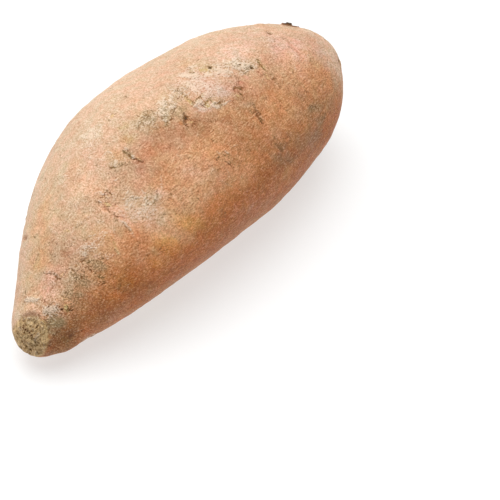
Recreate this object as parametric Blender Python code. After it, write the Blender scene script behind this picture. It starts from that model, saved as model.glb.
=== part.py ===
"""A whole raw sweet potato: one root, broad in the middle, rounded at the
crown where the vine grew and drawn in to a short broken stub at the tail.

Units are metres, +Z is up and the root lies along +X, with the tail stub at
-X and the crown at +X. It rests on a small flat spot at z = 0, and the origin
is on that plane, under the middle of the root's box.
"""

import math

import bmesh
import bpy

# --- driving dimensions (mm) -------------------------------------------------

# The skin runs through these sections, from the stub's broken face to the
# crown. Each row: place along the root, half width, half height, sideways
# lean of the centre, height of the centre above the resting plane.
SECTIONS = (
    (-1.6, 0.0, 0.0, -0.5, 13.0),
    (-1.2, 4.2, 4.0, -0.5, 13.0),
    (0.6, 7.4, 7.0, -0.5, 13.5),
    (6.0, 11.2, 10.6, 0.0, 15.0),
    (15.0, 16.6, 15.8, 0.5, 18.5),
    (28.0, 24.0, 22.6, 1.5, 23.5),
    (45.0, 31.0, 28.8, 3.0, 28.9),
    (64.0, 35.2, 33.0, 3.5, 32.4),
    (85.0, 36.0, 34.0, 2.5, 33.0),
    (106.0, 35.2, 33.2, 1.0, 32.4),
    (125.0, 32.2, 31.0, 0.0, 32.2),
    (142.0, 26.8, 26.0, -2.0, 32.5),
    (155.0, 19.0, 18.6, -3.0, 32.5),
    (163.5, 10.6, 10.4, -3.0, 33.0),
    (166.5, 0.0, 0.0, -2.5, 33.5),
)

# A grown root is never quite round: shallow lobes run along it and drift
# round it from tail to crown. Each row: number of lobes, height as a share
# of the radius, angle of the first lobe at the tail, drift over the length.
LOBES = (
    (2, 0.010, 20.0, 60.0),
    (3, 0.008, 75.0, -70.0),
    (5, 0.004, 10.0, 40.0),
)

# Broad swellings and hollows of the skin. Each row: place along the root,
# angle round it (0 = +Y, 90 = up), half length, half width round, height.
SWELLINGS = (
    (72.0, 96.0, 26.0, 12.0, 0.7),
    (112.0, 98.0, 18.0, 9.0, 0.5),
    (80.0, 116.0, 22.0, 7.0, -0.6),
    (22.0, 150.0, 12.0, 10.0, 0.6),
    (14.0, 60.0, 9.0, 8.0, -0.5),
    (128.0, 150.0, 16.0, 14.0, 0.7),
    (48.0, 205.0, 20.0, 12.0, -0.8),
    (100.0, -10.0, 24.0, 13.0, 0.8),
    (60.0, 20.0, 16.0, 9.0, -0.7),
    (140.0, 30.0, 12.0, 10.0, -0.6),
)

FLAT_SNAP = 0.12  # how near the resting plane a point of the skin joins it

RINGS = 66  # sections of the mesh along the root
SIDES = 44  # points round each section

SKIN_COLOUR = (0.52, 0.29, 0.16, 1.0)
SKIN_ROUGHNESS = 0.62

MM = 0.001


def spread(values):
    """How far along the profile each section lies, measured on the skin."""
    at = [0.0]
    for a, b in zip(values, values[1:]):
        at.append(at[-1] + math.hypot(b[0] - a[0], b[1] - a[1]))
    return at


def slopes(at, values):
    """Slope of each column at each section, for a smooth run through them."""
    gaps = [b - a for a, b in zip(at, at[1:])]
    steps = [
        [(q - p) / gap for p, q in zip(a, b)]
        for a, b, gap in zip(values, values[1:], gaps)
    ]
    inner = [
        [
            (d0 * h1 + d1 * h0) / (h0 + h1)
            for d0, d1 in zip(steps[i], steps[i + 1])
        ]
        for i, (h0, h1) in enumerate(zip(gaps, gaps[1:]))
    ]
    first = [1.5 * d - 0.5 * m for d, m in zip(steps[0], inner[0])]
    last = [1.5 * d - 0.5 * m for d, m in zip(steps[-1], inner[-1])]
    return [first] + inner + [last]


def section(at, values, leans, t):
    """Place, half width, half height, sideways and height of the centre at t."""
    i = 0
    while i < len(at) - 2 and t > at[i + 1]:
        i += 1
    h = at[i + 1] - at[i]
    s = (t - at[i]) / h
    a = 2 * s**3 - 3 * s**2 + 1
    b = s**3 - 2 * s**2 + s
    c = -2 * s**3 + 3 * s**2
    d = s**3 - s**2
    return [
        a * p + b * h * m + c * q + d * h * n
        for p, m, q, n in zip(values[i], leans[i], values[i + 1], leans[i + 1])
    ]


def skin_point(row, angle, length):
    """A point of the skin (mm) on one section, at an angle round it."""
    along, wide, high, lean, centre = row
    share = along / length
    grow = 1.0
    for count, height, start, drift in LOBES:
        grow += height * math.cos(count * (angle - math.radians(start + drift * share)))
    extra = 0.0
    radius = max(0.5 * (wide + high), 0.0)
    for x, deg, half_long, half_round, height in SWELLINGS:
        turn = (angle - math.radians(deg) + math.pi) % (2 * math.pi) - math.pi
        u = (along - x) / half_long
        v = turn * radius / half_round
        extra += height * math.exp(-(u * u) - (v * v))
    extra *= min(radius / 12.0, 1.0)
    return (
        along,
        lean + (max(wide, 0.0) * grow + extra) * math.cos(angle),
        centre + (max(high, 0.0) * grow + extra) * math.sin(angle),
    )


def root_mesh():
    bm = bmesh.new()
    at = spread(SECTIONS)
    leans = slopes(at, SECTIONS)
    length = SECTIONS[-1][0]
    rings = []
    for i in range(1, RINGS):
        # a little closer together at the two ends, where the skin turns in
        u = i / RINGS
        t = at[-1] * (u - 0.06 * math.sin(2 * math.pi * u) / (2 * math.pi) * 2)
        row = section(at, SECTIONS, leans, t)
        rings.append(
            [
                bm.verts.new(
                    [MM * c for c in skin_point(row, 2 * math.pi * k / SIDES, length)]
                )
                for k in range(SIDES)
            ]
        )
    tail = bm.verts.new([MM * SECTIONS[0][j] for j in (0, 3, 4)])
    crown = bm.verts.new([MM * SECTIONS[-1][j] for j in (0, 3, 4)])
    for k in range(SIDES):
        n = (k + 1) % SIDES
        bm.faces.new((tail, rings[0][k], rings[0][n]))
        bm.faces.new((rings[-1][k], crown, rings[-1][n]))
        for a, b in zip(rings, rings[1:]):
            bm.faces.new((a[k], b[k], b[n], a[n]))
    bmesh.ops.recalc_face_normals(bm, faces=bm.faces[:])

    # the flat spot that the root's own weight rests on; a point of the skin
    # that comes down almost to the plane goes all the way, so the flat's rim
    # has no tiny slivers
    for v in bm.verts:
        if abs(v.co.z) < FLAT_SNAP * MM:
            v.co.z = 0.0
    cut = bmesh.ops.bisect_plane(
        bm,
        geom=bm.verts[:] + bm.edges[:] + bm.faces[:],
        dist=1e-6,
        plane_co=(0, 0, 0),
        plane_no=(0, 0, 1),
        clear_inner=True,
    )
    rim = [e for e in cut["geom_cut"] if isinstance(e, bmesh.types.BMEdge)]
    bmesh.ops.contextual_create(bm, geom=rim)
    bmesh.ops.recalc_face_normals(bm, faces=bm.faces[:])

    # the origin goes under the middle of the root's box
    for axis in (0, 1):
        low = min(v.co[axis] for v in bm.verts)
        high = max(v.co[axis] for v in bm.verts)
        for v in bm.verts:
            v.co[axis] -= 0.5 * (low + high)

    mesh = bpy.data.meshes.new("sweet_potato")
    bm.to_mesh(mesh)
    bm.free()
    return mesh


def skin_material():
    material = bpy.data.materials.new("sweet_potato_skin")
    material.use_nodes = True
    shader = material.node_tree.nodes["Principled BSDF"]
    shader.inputs["Base Color"].default_value = SKIN_COLOUR
    shader.inputs["Roughness"].default_value = SKIN_ROUGHNESS
    shader.inputs["Metallic"].default_value = 0.0
    return material


def main():
    for old in list(bpy.data.objects):
        bpy.data.objects.remove(old, do_unlink=True)

    mesh = root_mesh()
    mesh.materials.append(skin_material())
    mesh.shade_smooth()
    mesh.set_sharp_from_angle(angle=math.radians(35.0))

    root = bpy.data.objects.new("sweet_potato", mesh)
    bpy.context.scene.collection.objects.link(root)


main()
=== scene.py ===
import math
import random

import bpy
import numpy as np
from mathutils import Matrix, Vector


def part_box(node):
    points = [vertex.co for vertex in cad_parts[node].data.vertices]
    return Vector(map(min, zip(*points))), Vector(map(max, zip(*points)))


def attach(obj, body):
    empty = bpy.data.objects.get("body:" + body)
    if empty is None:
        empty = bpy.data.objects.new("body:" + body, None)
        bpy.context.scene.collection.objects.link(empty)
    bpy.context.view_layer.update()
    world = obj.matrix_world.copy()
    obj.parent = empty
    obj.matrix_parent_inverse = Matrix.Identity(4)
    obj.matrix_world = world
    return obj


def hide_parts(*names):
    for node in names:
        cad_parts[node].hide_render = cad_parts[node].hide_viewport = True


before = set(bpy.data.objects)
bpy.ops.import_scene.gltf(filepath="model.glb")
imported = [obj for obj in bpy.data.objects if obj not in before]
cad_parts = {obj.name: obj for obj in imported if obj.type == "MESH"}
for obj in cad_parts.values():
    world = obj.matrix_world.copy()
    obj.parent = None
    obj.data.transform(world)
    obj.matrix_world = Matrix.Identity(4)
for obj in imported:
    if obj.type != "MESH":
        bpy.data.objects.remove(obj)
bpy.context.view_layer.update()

MM = 0.001

# ---------------------------------------------------------------------------
# The root's own form, the same as the CAD solid: sections along +X (mm) with
# half width, half height, sideways lean and height of the centre.
# ---------------------------------------------------------------------------
SECTIONS = np.array((
    (-1.6, 0.0, 0.0, -0.5, 13.0),
    (-1.2, 4.2, 4.0, -0.5, 13.0),
    (0.6, 7.4, 7.0, -0.5, 13.5),
    (6.0, 11.2, 10.6, 0.0, 15.0),
    (15.0, 16.6, 15.8, 0.5, 18.5),
    (28.0, 24.0, 22.6, 1.5, 23.5),
    (45.0, 31.0, 28.8, 3.0, 28.9),
    (64.0, 35.2, 33.0, 3.5, 32.4),
    (85.0, 36.0, 34.0, 2.5, 33.0),
    (106.0, 35.2, 33.2, 1.0, 32.4),
    (125.0, 32.2, 31.0, 0.0, 32.2),
    (142.0, 26.8, 26.0, -2.0, 32.5),
    (155.0, 19.0, 18.6, -3.0, 32.5),
    (163.5, 10.6, 10.4, -3.0, 33.0),
    (166.5, 0.0, 0.0, -2.5, 33.5),
))
LOBES = (
    (2, 0.010, 20.0, 60.0),
    (3, 0.008, 75.0, -70.0),
    (5, 0.004, 10.0, 40.0),
)
SWELLINGS = (
    (72.0, 96.0, 26.0, 12.0, 0.7),
    (112.0, 98.0, 18.0, 9.0, 0.5),
    (80.0, 116.0, 22.0, 7.0, -0.6),
    (22.0, 150.0, 12.0, 10.0, 0.6),
    (14.0, 60.0, 9.0, 8.0, -0.5),
    (128.0, 150.0, 16.0, 14.0, 0.7),
    (48.0, 205.0, 20.0, 12.0, -0.8),
    (100.0, -10.0, 24.0, 13.0, 0.8),
    (60.0, 20.0, 16.0, 9.0, -0.7),
    (140.0, 30.0, 12.0, 10.0, -0.6),
)
LENGTH = SECTIONS[-1, 0]

RINGS = 350
SIDES = 280


def profile(t):
    """Section values at places t along the profile (arrays)."""
    s = SECTIONS
    at = np.r_[0.0, np.cumsum(np.hypot(np.diff(s[:, 0]), np.diff(s[:, 1])))]
    h = np.diff(at)
    d = np.diff(s, axis=0) / h[:, None]
    m = np.zeros_like(s)
    m[1:-1] = (d[:-1] * h[1:, None] + d[1:] * h[:-1, None]) / (h[:-1] + h[1:])[:, None]
    m[0] = 1.5 * d[0] - 0.5 * m[1]
    m[-1] = 1.5 * d[-1] - 0.5 * m[-2]
    t = t * at[-1]
    i = np.clip(np.searchsorted(at, t, side="right") - 1, 0, len(at) - 2)
    u = ((t - at[i]) / h[i])[:, None]
    g = h[i][:, None]
    return (
        (2 * u**3 - 3 * u**2 + 1) * s[i]
        + (u**3 - 2 * u**2 + u) * g * m[i]
        + (-2 * u**3 + 3 * u**2) * s[i + 1]
        + (u**3 - u**2) * g * m[i + 1]
    )


def skin(rows, ang):
    """Points (mm) of the plain skin for section rows (R,5) and angles (S,), as R x S x 3."""
    along = rows[:, 0:1]
    share = along / LENGTH
    grow = 1.0
    for count, height, start, drift in LOBES:
        grow = grow + height * np.cos(count * (ang - np.radians(start + drift * share)))
    radius = np.maximum(0.5 * (rows[:, 1:2] + rows[:, 2:3]), 0.0)
    extra = 0.0
    for x, deg, half_long, half_round, height in SWELLINGS:
        turn = (ang - math.radians(deg) + math.pi) % (2 * math.pi) - math.pi
        extra = extra + height * np.exp(
            -(((along - x) / half_long) ** 2) - (turn * radius / half_round) ** 2
        )
    extra = extra * np.minimum(radius / 12.0, 1.0)
    wide = np.maximum(rows[:, 1:2], 0.0) * grow + extra
    high = np.maximum(rows[:, 2:3], 0.0) * grow + extra
    return np.stack(
        (
            along + 0 * wide,
            rows[:, 3:4] + wide * np.cos(ang),
            rows[:, 4:5] + high * np.sin(ang),
        ),
        2,
    )


def spread(count):
    """Angles round the root, closest together over its upper side, where the scars are finest."""
    d = np.linspace(0.0, 360.0, 7201)
    share = 1.0 + np.exp(-((((d - 105.0 + 180.0) % 360.0 - 180.0) / 62.0) ** 2))
    at = np.r_[0.0, np.cumsum(0.5 * (share[1:] + share[:-1]))]
    return np.radians(np.interp(np.arange(count) / count, at / at[-1], d))


# the CAD solid's origin is under the middle of its box
ring_t = np.arange(1, RINGS) / RINGS
rows = profile(ring_t)
ang = spread(SIDES)
P = skin(rows, ang)
lo, hi = (np.array(c) * 1000 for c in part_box("sweet_potato"))
SHIFT = np.array(
    (
        0.5 * (lo[0] + hi[0]) - 0.5 * (SECTIONS[0, 0] + SECTIONS[-1, 0]),
        0.5 * (lo[1] + hi[1]) - 0.5 * (P[..., 1].min() + P[..., 1].max()),
        0.0,
    )
)

# ---------------------------------------------------------------------------
# Noise for the fine form and the broad colour of the skin
# ---------------------------------------------------------------------------


def scatter(ix, iy, iz, seed):
    """A fixed pseudo-random number in 0..1 for each lattice point."""
    h = (
        ix.astype(np.uint32) * np.uint32(0x8DA6B343)
        ^ iy.astype(np.uint32) * np.uint32(0xD8163841)
        ^ iz.astype(np.uint32) * np.uint32(0xCB1AB31F)
        ^ np.uint32((seed * 0x9E3779B1) & 0xFFFFFFFF)
    )
    h ^= h >> np.uint32(15)
    h *= np.uint32(0x2C1B3C6D)
    h ^= h >> np.uint32(12)
    h *= np.uint32(0x297A2D39)
    h ^= h >> np.uint32(15)
    return h.astype(np.float64) / 4294967295.0


def noise(q, seed):
    """Smooth gradient noise, about -1..1, at points q (..., 3)."""
    f = np.floor(q)
    i = f.astype(np.int64)
    w = q - f
    s = w * w * w * (w * (w * 6 - 15) + 10)
    total = 0.0
    for a in (0, 1):
        for b in (0, 1):
            for c in (0, 1):
                x, y, z = i[..., 0] + a, i[..., 1] + b, i[..., 2] + c
                turn = scatter(x, y, z, seed) * 2 * math.pi
                tilt = scatter(x, y, z, seed + 101) * 2 - 1
                flat = np.sqrt(1 - tilt * tilt)
                dot = (
                    np.cos(turn) * flat * (w[..., 0] - a)
                    + np.sin(turn) * flat * (w[..., 1] - b)
                    + tilt * (w[..., 2] - c)
                )
                share = (
                    (s[..., 0] if a else 1 - s[..., 0])
                    * (s[..., 1] if b else 1 - s[..., 1])
                    * (s[..., 2] if c else 1 - s[..., 2])
                )
                total = total + dot * share
    return total * 1.6


def fractal(q, seed, octaves=3, gain=0.5):
    total, amp, norm = 0.0, 1.0, 0.0
    for k in range(octaves):
        total = total + amp * noise(q * 2.0**k + 17.3 * k, seed + 7 * k)
        norm += amp
        amp *= gain
    return total / norm


def step(a, b, x):
    u = np.clip((x - a) / (b - a), 0, 1)
    return u * u * (3 - 2 * u)


# ---------------------------------------------------------------------------
# Coordinates on the skin: `along` (mm) and `deg` round it
# ---------------------------------------------------------------------------
along = rows[:, 0:1] + 0 * ang
deg = np.degrees(ang)[None, :] + 0 * along
radius = 0.5 * (rows[:, 1:2] + rows[:, 2:3]) + 0 * ang


def normals(p):
    """Outward normals of a ring mesh (R, S, 3)."""
    du = np.empty_like(p)
    du[1:-1] = p[2:] - p[:-2]
    du[0], du[-1] = p[1] - p[0], p[-1] - p[-2]
    dv = np.roll(p, -1, 1) - np.roll(p, 1, 1)
    n = np.cross(dv, du)
    n /= np.linalg.norm(n, axis=2, keepdims=True) + 1e-12
    centre = p.mean(axis=1, keepdims=True)
    if ((p - centre) * n).sum() < 0:
        n = -n
    return n


N = normals(P)


def around(a, b):
    """Signed difference of two angles in degrees, -180..180."""
    return (a - b + 180.0) % 360.0 - 180.0


def place(x, d):
    """The skin point (mm), its normal, and its two tangents (along, round) at a place."""
    r = int(np.argmin(np.abs(rows[:, 0] - x)))
    if x < 1.0:  # the blunt face: rows there are close together along the root
        r = int(np.argmin(np.abs(rows[:12, 0] - x)))
    c = int(np.argmin(np.abs(around(np.degrees(ang), d))))
    n = N[r, c]
    v = np.cross((1.0, 0.0, 0.0), n)
    size = np.linalg.norm(v)
    v = v / size if size > 0.05 else np.array((0.0, 1.0, 0.0))
    u = np.cross(n, v)
    return P[r, c], n, u, v


def window(centre, reach):
    """Indices of the skin points within reach (mm) of a point."""
    d = np.abs(P - centre).max(axis=2)
    return np.nonzero(d < reach)


PROFILE_X = rows[:, 0]
PROFILE_R = np.maximum(0.5 * (rows[:, 1] + rows[:, 2]), 1.0)

layers = {}
for name in (
    "height", "umber", "bark", "rust", "tan", "peach", "pink", "orange", "red", "yellow", "olive", "grey", "pale", "cork", "dark", "bloom",
    "shade", "lift", "warmth",
):
    layers[name] = np.zeros(along.shape)

EDGE = noise(P / 2.6, 71) * 0.6 + noise(P / 1.1, 73) * 0.4
EDGE2 = noise(P / 6.5, 75)


def spot(x, d, ru, rv, rot=0.0, ragged=0.35, broad=0.0, hard=0.5, **add):
    """Adds a soft ragged oval to layers: ru along the root and rv round it (mm), turned by rot degrees."""
    c, n, u, v = place(x, d)
    w = window(c, 1.9 * max(ru, rv))
    q = P[w] - c
    a, b = q @ u, q @ v
    t = math.radians(rot)
    a, b = a * math.cos(t) + b * math.sin(t), -a * math.sin(t) + b * math.cos(t)
    r = np.sqrt((a / ru) ** 2 + (b / rv) ** 2) + ragged * EDGE[w] + broad * EDGE2[w]
    near = (np.abs(q @ n) < max(ru, rv)) & ((N[w] @ n) > 0.0)
    share = (1 - step(hard, 1.35, r)) * near
    for name, value in add.items():
        layers[name][w] += share * value


def stroke(points, width, ragged=0.2, taper=True, wander=0.0, **add):
    """Adds a line through (along, deg) points to layers, of half width `width` (mm)."""
    pts = np.array([place(*p)[0] for p in points])
    if len(pts) > 2 or wander:
        fine = []
        seg = np.r_[0, np.cumsum(np.linalg.norm(np.diff(pts, axis=0), axis=1))]
        for s in np.linspace(0, seg[-1], max(8, int(seg[-1] / 0.6))):
            fine.append([np.interp(s, seg, pts[:, k]) for k in range(3)])
        fine = np.array(fine)
        if wander:
            q = fine / 1.7
            fine = fine + wander * np.stack((noise(q, 81), noise(q + 9.1, 82), noise(q + 4.7, 83)), 1)
        pts = fine
    w = window(pts.mean(0), np.abs(pts - pts.mean(0)).max() + 4 * width + 1)
    q = P[w]
    best = np.full(len(q), 1e9)
    where = np.zeros(len(q))
    total = np.linalg.norm(np.diff(pts, axis=0), axis=1)
    reach = np.r_[0, np.cumsum(total)]
    for k, (a, b) in enumerate(zip(pts, pts[1:])):
        ab = b - a
        t = np.clip(((q - a) @ ab) / max(ab @ ab, 1e-9), 0, 1)
        dd = np.linalg.norm(q - (a + t[:, None] * ab), axis=1)
        closer = dd < best
        best = np.where(closer, dd, best)
        where = np.where(closer, (reach[k] + t * total[k]) / max(reach[-1], 1e-9), where)
    wide = width * (np.sqrt(np.clip(4 * where * (1 - where), 0.06, 1)) if taper else 1.0)
    r = best / wide + ragged * EDGE[w]
    share = np.exp(-np.clip(r, 0, 9) ** 2)
    for name, value in add.items():
        layers[name][w] += share * value


# --- broad colour of the skin, over the whole root --------------------------
# (soft areas of the grown, rubbed and dried skin; some below also hold painted shade and painted light)
PATCHES = (
    # along, deg, half long, half round, turn, layers
    # the brown hollow under the rubbed shoulder: browner skin, and partly painted shade in the hollow
    (84, 118, 16, 7.5, 0, dict(umber=0.58)),
    (67, 109, 12, 6.5, 0, dict(umber=0.60, red=0.12)),
    (99, 127, 11, 6, 0, dict(umber=0.55)),
    (104, 117, 8, 5, 0, dict(umber=0.45)),
    (113, 122, 8, 5, 0, dict(umber=0.35)),
    (122, 107, 9, 8, 0, dict(umber=0.25)),
    (99, 75, 9, 5, 0, dict(umber=0.18)),
    (120, 130, 9, 7, 0, dict(umber=0.20)),
    # paler swell below it
    (52, 151, 11, 10, 0, dict(tan=1.0)),
    (42, 158, 8, 7, 0, dict(tan=0.5)),
    (64, 140, 10, 8, 0, dict(tan=0.65)),
    (78, 140, 9, 6, 0, dict(tan=0.35)),
    (82, 153, 10, 6, 0, dict(tan=0.40)),
    (46, 131, 9, 9, 0, dict(peach=0.9)),
    (32, 126, 6, 8, 0, dict(tan=0.75)),
    (34, 110, 9, 8, 0, dict(peach=0.45)),
    (47, 92, 9, 7, 0, dict(peach=0.35)),
    (12, 108, 5, 5, 0, dict(peach=0.6)),
    (18, 112, 5, 3, 0, dict(peach=0.5)),
    # the crown's own end; its paler peach is partly its own colour, partly painted light
    (157, 112, 9, 18, 0, dict(peach=1.0)),
    (153, 142, 9, 10, 0, dict(peach=0.75)),
    (150, 165, 6, 6, 0, dict(tan=0.4)),
    (145, 92, 10, 9, 0, dict(peach=0.35)),
    (137, 106, 12, 10, 0, dict(pink=0.55)),
    (128, 112, 8, 6, 0, dict(pink=0.25)),
    (146, 118, 8, 8, 0, dict(pink=0.25)),
    (134, 158, 10, 8, 0, dict(olive=0.42)),
    (146, 154, 7, 7, 0, dict(olive=0.25)),
    (120, 150, 9, 7, 0, dict(umber=0.30)),
    # lower side, browner and redder: partly the skin's own colour, partly painted shade and painted warm reflected
    # light
    (108, 172, 26, 8, 0, dict(umber=0.35, rust=0.35)),
    (122, 168, 10, 7, 0, dict(olive=0.35)),
    (80, 172, 18, 8, 0, dict(rust=0.35)),
    (32, 162, 18, 9, 0, dict(rust=0.85)),
    (46, 166, 10, 6, 0, dict(rust=0.35)),
    (16, 158, 10, 7, 0, dict(rust=0.55)),
    (5, 172, 8, 9, 0, dict(bark=1.0)),
    (9, 155, 7, 6, 0, dict(bark=0.9)),
    (20, 176, 10, 6, 0, dict(bark=0.6)),
    (13, 143, 7, 5, 0, dict(umber=0.6)),
    (24, 142, 8, 6, 0, dict(orange=0.4, umber=0.35)),
    (95, 137, 16, 9, 0, dict(orange=0.60)),
    (112, 136, 9, 8, 0, dict(orange=0.45)),
    (78, 130, 12, 6, 0, dict(orange=0.25)),
    (38, 140, 7, 6, 20, dict(orange=0.65, red=0.15)),
    (30, 128, 6, 7, 0, dict(orange=0.25)),
    (62, 112, 11, 5, 10, dict(red=0.30)),
    (60, 122, 9, 5, 0, dict(orange=0.25)),
    (104, 114, 5, 3, 0, dict(red=0.30)),
    (140, 132, 8, 7, 0, dict(orange=0.15)),
    # the pale rubbed shoulder that runs along the upper side
    (74, 98, 8, 5, 0, dict(grey=0.60, pale=0.50)),
    (64, 93, 8, 5, 10, dict(pale=0.30, grey=0.40)),
    (78, 104, 6, 4, 0, dict(grey=0.50)),
    (86, 95, 8, 4, 0, dict(pale=0.50, grey=0.25)),
    (96, 85, 9, 3, 0, dict(pale=0.60)),
    (97, 95, 9, 4.5, 0, dict(pink=0.55, pale=0.45)),
    (92, 104, 8, 4, 0, dict(pink=0.35, pale=0.50)),
    (106, 96, 8, 3, 12, dict(pale=0.65, grey=0.30)),
    (114, 104, 6, 3.5, 20, dict(pale=0.65, grey=0.40)),
    (90, 108, 8, 2.5, 0, dict(pale=0.35, grey=0.25)),
    (86, 70, 18, 8, 0, dict(pink=0.20)),
    (120, 86, 10, 8, 0, dict(pale=0.20, pink=0.15)),
    # pale and pink skin towards the tail
    (53, 73, 6, 5, 0, dict(pale=0.55)),
    (46, 80, 9, 7, 30, dict(pink=0.40)),
    (60, 70, 8, 6, 0, dict(pale=0.25)),
    (52, 96, 6, 6, 0, dict(grey=0.30, pale=0.30)),
    (46, 106, 8, 5, 0, dict(grey=0.30, pink=0.25)),
    (47, 129, 6, 7, 70, dict(pale=0.50, grey=0.40)),
    (42, 118, 8, 7, 0, dict(pale=0.20, pink=0.20)),
    (31, 118, 5, 3, 0, dict(pale=0.50)),
    (26, 113, 4, 3, 0, dict(pale=0.45, pink=0.20)),
    (30, 70, 8, 8, 0, dict(yellow=0.14)),
    (22, 80, 9, 7, 0, dict(umber=0.12, orange=0.12)),
    (20, 96, 7, 6, 0, dict(umber=0.14)),
    (14, 98, 5, 5, 0, dict(pink=0.45)),
    (10, 86, 4, 6, 0, dict(pink=0.25, peach=0.2)),
    (28, 60, 10, 8, 0, dict(pink=0.20)),
    (38, 52, 12, 8, 0, dict(yellow=0.12)),
    # dried earth near the tail
    (22.5, 121, 6, 5, 0, dict(grey=0.42, olive=0.10)),
    (17.5, 127, 5, 5, 0, dict(grey=0.42, olive=0.15)),
    (25.5, 127, 4, 4, 0, dict(grey=0.30)),
    (12.5, 130, 4, 4, 0, dict(grey=0.45)),
    (14, 150, 5, 4, 0, dict(grey=0.35)),
    # round the stub
    (7.6, 115, 3.2, 3.4, 40, dict(pale=0.60, grey=0.30)),
    (9.6, 124, 2.6, 2.6, 0, dict(pale=0.40)),
    (7.4, 139, 3.0, 2.4, 60, dict(grey=0.9, olive=0.65)),
    (5.0, 134, 2.6, 2.6, 0, dict(olive=0.5, grey=0.4)),
    (7.2, 80, 1.2, 6, 0, dict(pale=0.6)),
)
for x, d, ru, rv, rot, add in PATCHES:
    spot(x, d, ru, rv, rot, ragged=0.3, broad=0.45, hard=0.05, **add)

# shifts of lightness and warmth over broad places
spot(98.5, 109.9, 9.19, 6.53, 50, ragged=0.25, broad=0.35, hard=-0.10, lift=0.9, warmth=-0.7)
spot(96.0, 98.1, 5.28, 4.20, 21, ragged=0.25, broad=0.35, hard=-0.10, lift=0.35, warmth=-0.4)
spot(81.7, 107.5, 3.16, 2.49, 37, ragged=0.25, broad=0.35, hard=-0.10, lift=0.5)
spot(131.5, 96.3, 13.30, 6.87, 28, ragged=0.25, broad=0.35, hard=-0.10, lift=0.5, warmth=-0.5)
spot(117.6, 90.2, 7.87, 6.65, 40, ragged=0.25, broad=0.35, hard=-0.10, lift=0.3, warmth=-0.4)
spot(136.8, 117.0, 7.56, 7.05, 39, ragged=0.25, broad=0.35, hard=-0.10, lift=0.2, warmth=-0.2)
spot(69.5, 132.4, 6.18, 2.95, 28, ragged=0.25, broad=0.35, hard=-0.10, lift=0.6, warmth=-0.6)
spot(70.7, 147.1, 4.37, 3.15, 38, ragged=0.25, broad=0.35, hard=-0.10, lift=0.5, warmth=-0.3)
spot(58.9, 123.9, 4.67, 2.58, 36, ragged=0.25, broad=0.35, hard=-0.10, lift=0.2)
spot(40.0, 82.0, 7.05, 5.37, 67, ragged=0.25, broad=0.35, hard=-0.10, lift=0.5)
spot(43.5, 60.4, 5.97, 4.59, 83, ragged=0.25, broad=0.35, hard=-0.10, lift=0.2, warmth=-0.2)
spot(37.6, 111.5, 4.57, 2.47, 51, ragged=0.25, broad=0.35, hard=-0.10, lift=0.7)
spot(45.3, 127.2, 4.18, 2.71, 52, ragged=0.25, broad=0.35, hard=-0.10, lift=0.8, warmth=-0.1)
spot(45.3, 149.7, 5.05, 2.25, 41, ragged=0.25, broad=0.35, hard=-0.10, lift=0.7, warmth=0.2)
spot(37.7, 131.5, 3.65, 1.71, 51, ragged=0.25, broad=0.35, hard=-0.10, lift=0.4)
spot(28.8, 110.4, 4.43, 2.48, 58, ragged=0.25, broad=0.35, hard=-0.10, lift=0.3)
spot(11.6, 128.6, 2.47, 2.10, 46, ragged=0.25, broad=0.35, hard=-0.10, lift=1.5)
spot(7.0, 112.6, 2.94, 1.73, 59, ragged=0.25, broad=0.35, hard=-0.10, lift=1)
spot(16.8, 127.3, 2.63, 2.73, 68, ragged=0.25, broad=0.35, hard=-0.10, lift=0.8)
spot(22.6, 116.1, 3.08, 2.10, 52, ragged=0.25, broad=0.35, hard=-0.10, lift=0.5)
spot(27.5, 135.8, 3.88, 2.81, 50, ragged=0.25, broad=0.35, hard=-0.10, lift=0.5, warmth=-0.2)
spot(97.0, 141.7, 6.93, 3.11, 17, ragged=0.25, broad=0.35, hard=-0.10, lift=-0.6, warmth=0.3)
spot(59.4, 95.5, 4.30, 3.22, 60, ragged=0.25, broad=0.35, hard=-0.10, lift=-0.8, warmth=0.4)
spot(68.4, 90.2, 4.01, 3.51, 69, ragged=0.25, broad=0.35, hard=-0.10, lift=-0.6, warmth=0.4)
spot(68.9, 102.5, 3.63, 2.79, 30, ragged=0.25, broad=0.35, hard=-0.10, lift=-0.6, warmth=0.5)
spot(56.5, 150.0, 4.78, 3.54, 40, ragged=0.25, broad=0.35, hard=-0.10, lift=-0.7)
spot(50.9, 148.9, 3.57, 2.25, 40, ragged=0.25, broad=0.35, hard=-0.10, lift=-0.3)
spot(80.7, 121.2, 7.62, 3.65, 49, ragged=0.25, broad=0.35, hard=-0.10, lift=-0.4, warmth=0.2)
# darker and warmer low on the root, from the crown's lower side to the tail: painted shade and painted warm reflected
# light
spot(112.0, 151.6, 7.65, 3.45, 21, ragged=0.25, broad=0.35, hard=-0.10, lift=-0.5, warmth=0.5)
spot(130.0, 159.5, 9.03, 5.75, 35, ragged=0.25, broad=0.35, hard=-0.10, lift=-0.8, warmth=0.6)
spot(134.1, 179.5, 9.60, 6.49, 42, ragged=0.25, broad=0.35, hard=-0.10, lift=-0.6, warmth=0.6)
spot(112.5, 168.5, 6.69, 2.45, 39, ragged=0.25, broad=0.35, hard=-0.10, lift=-0.8, warmth=0.2)
spot(94.4, 167.5, 7.27, 2.44, 26, ragged=0.25, broad=0.35, hard=-0.10, lift=-0.8, warmth=0.2)
spot(79.0, 165.7, 5.64, 2.06, 21, ragged=0.25, broad=0.35, hard=-0.10, lift=-0.3)
spot(56.2, 158.4, 7.18, 4.16, 41, ragged=0.25, broad=0.35, hard=-0.10, warmth=1.1)
spot(46.9, 160.0, 5.91, 3.55, 51, ragged=0.25, broad=0.35, hard=-0.10, warmth=1)
spot(40.7, 163.7, 5.43, 2.77, 40, ragged=0.25, broad=0.35, hard=-0.10, warmth=1.2)
spot(30.8, 163.2, 5.51, 3.36, 40, ragged=0.25, broad=0.35, hard=-0.10, warmth=0.9, lift=-0.2)
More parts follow.
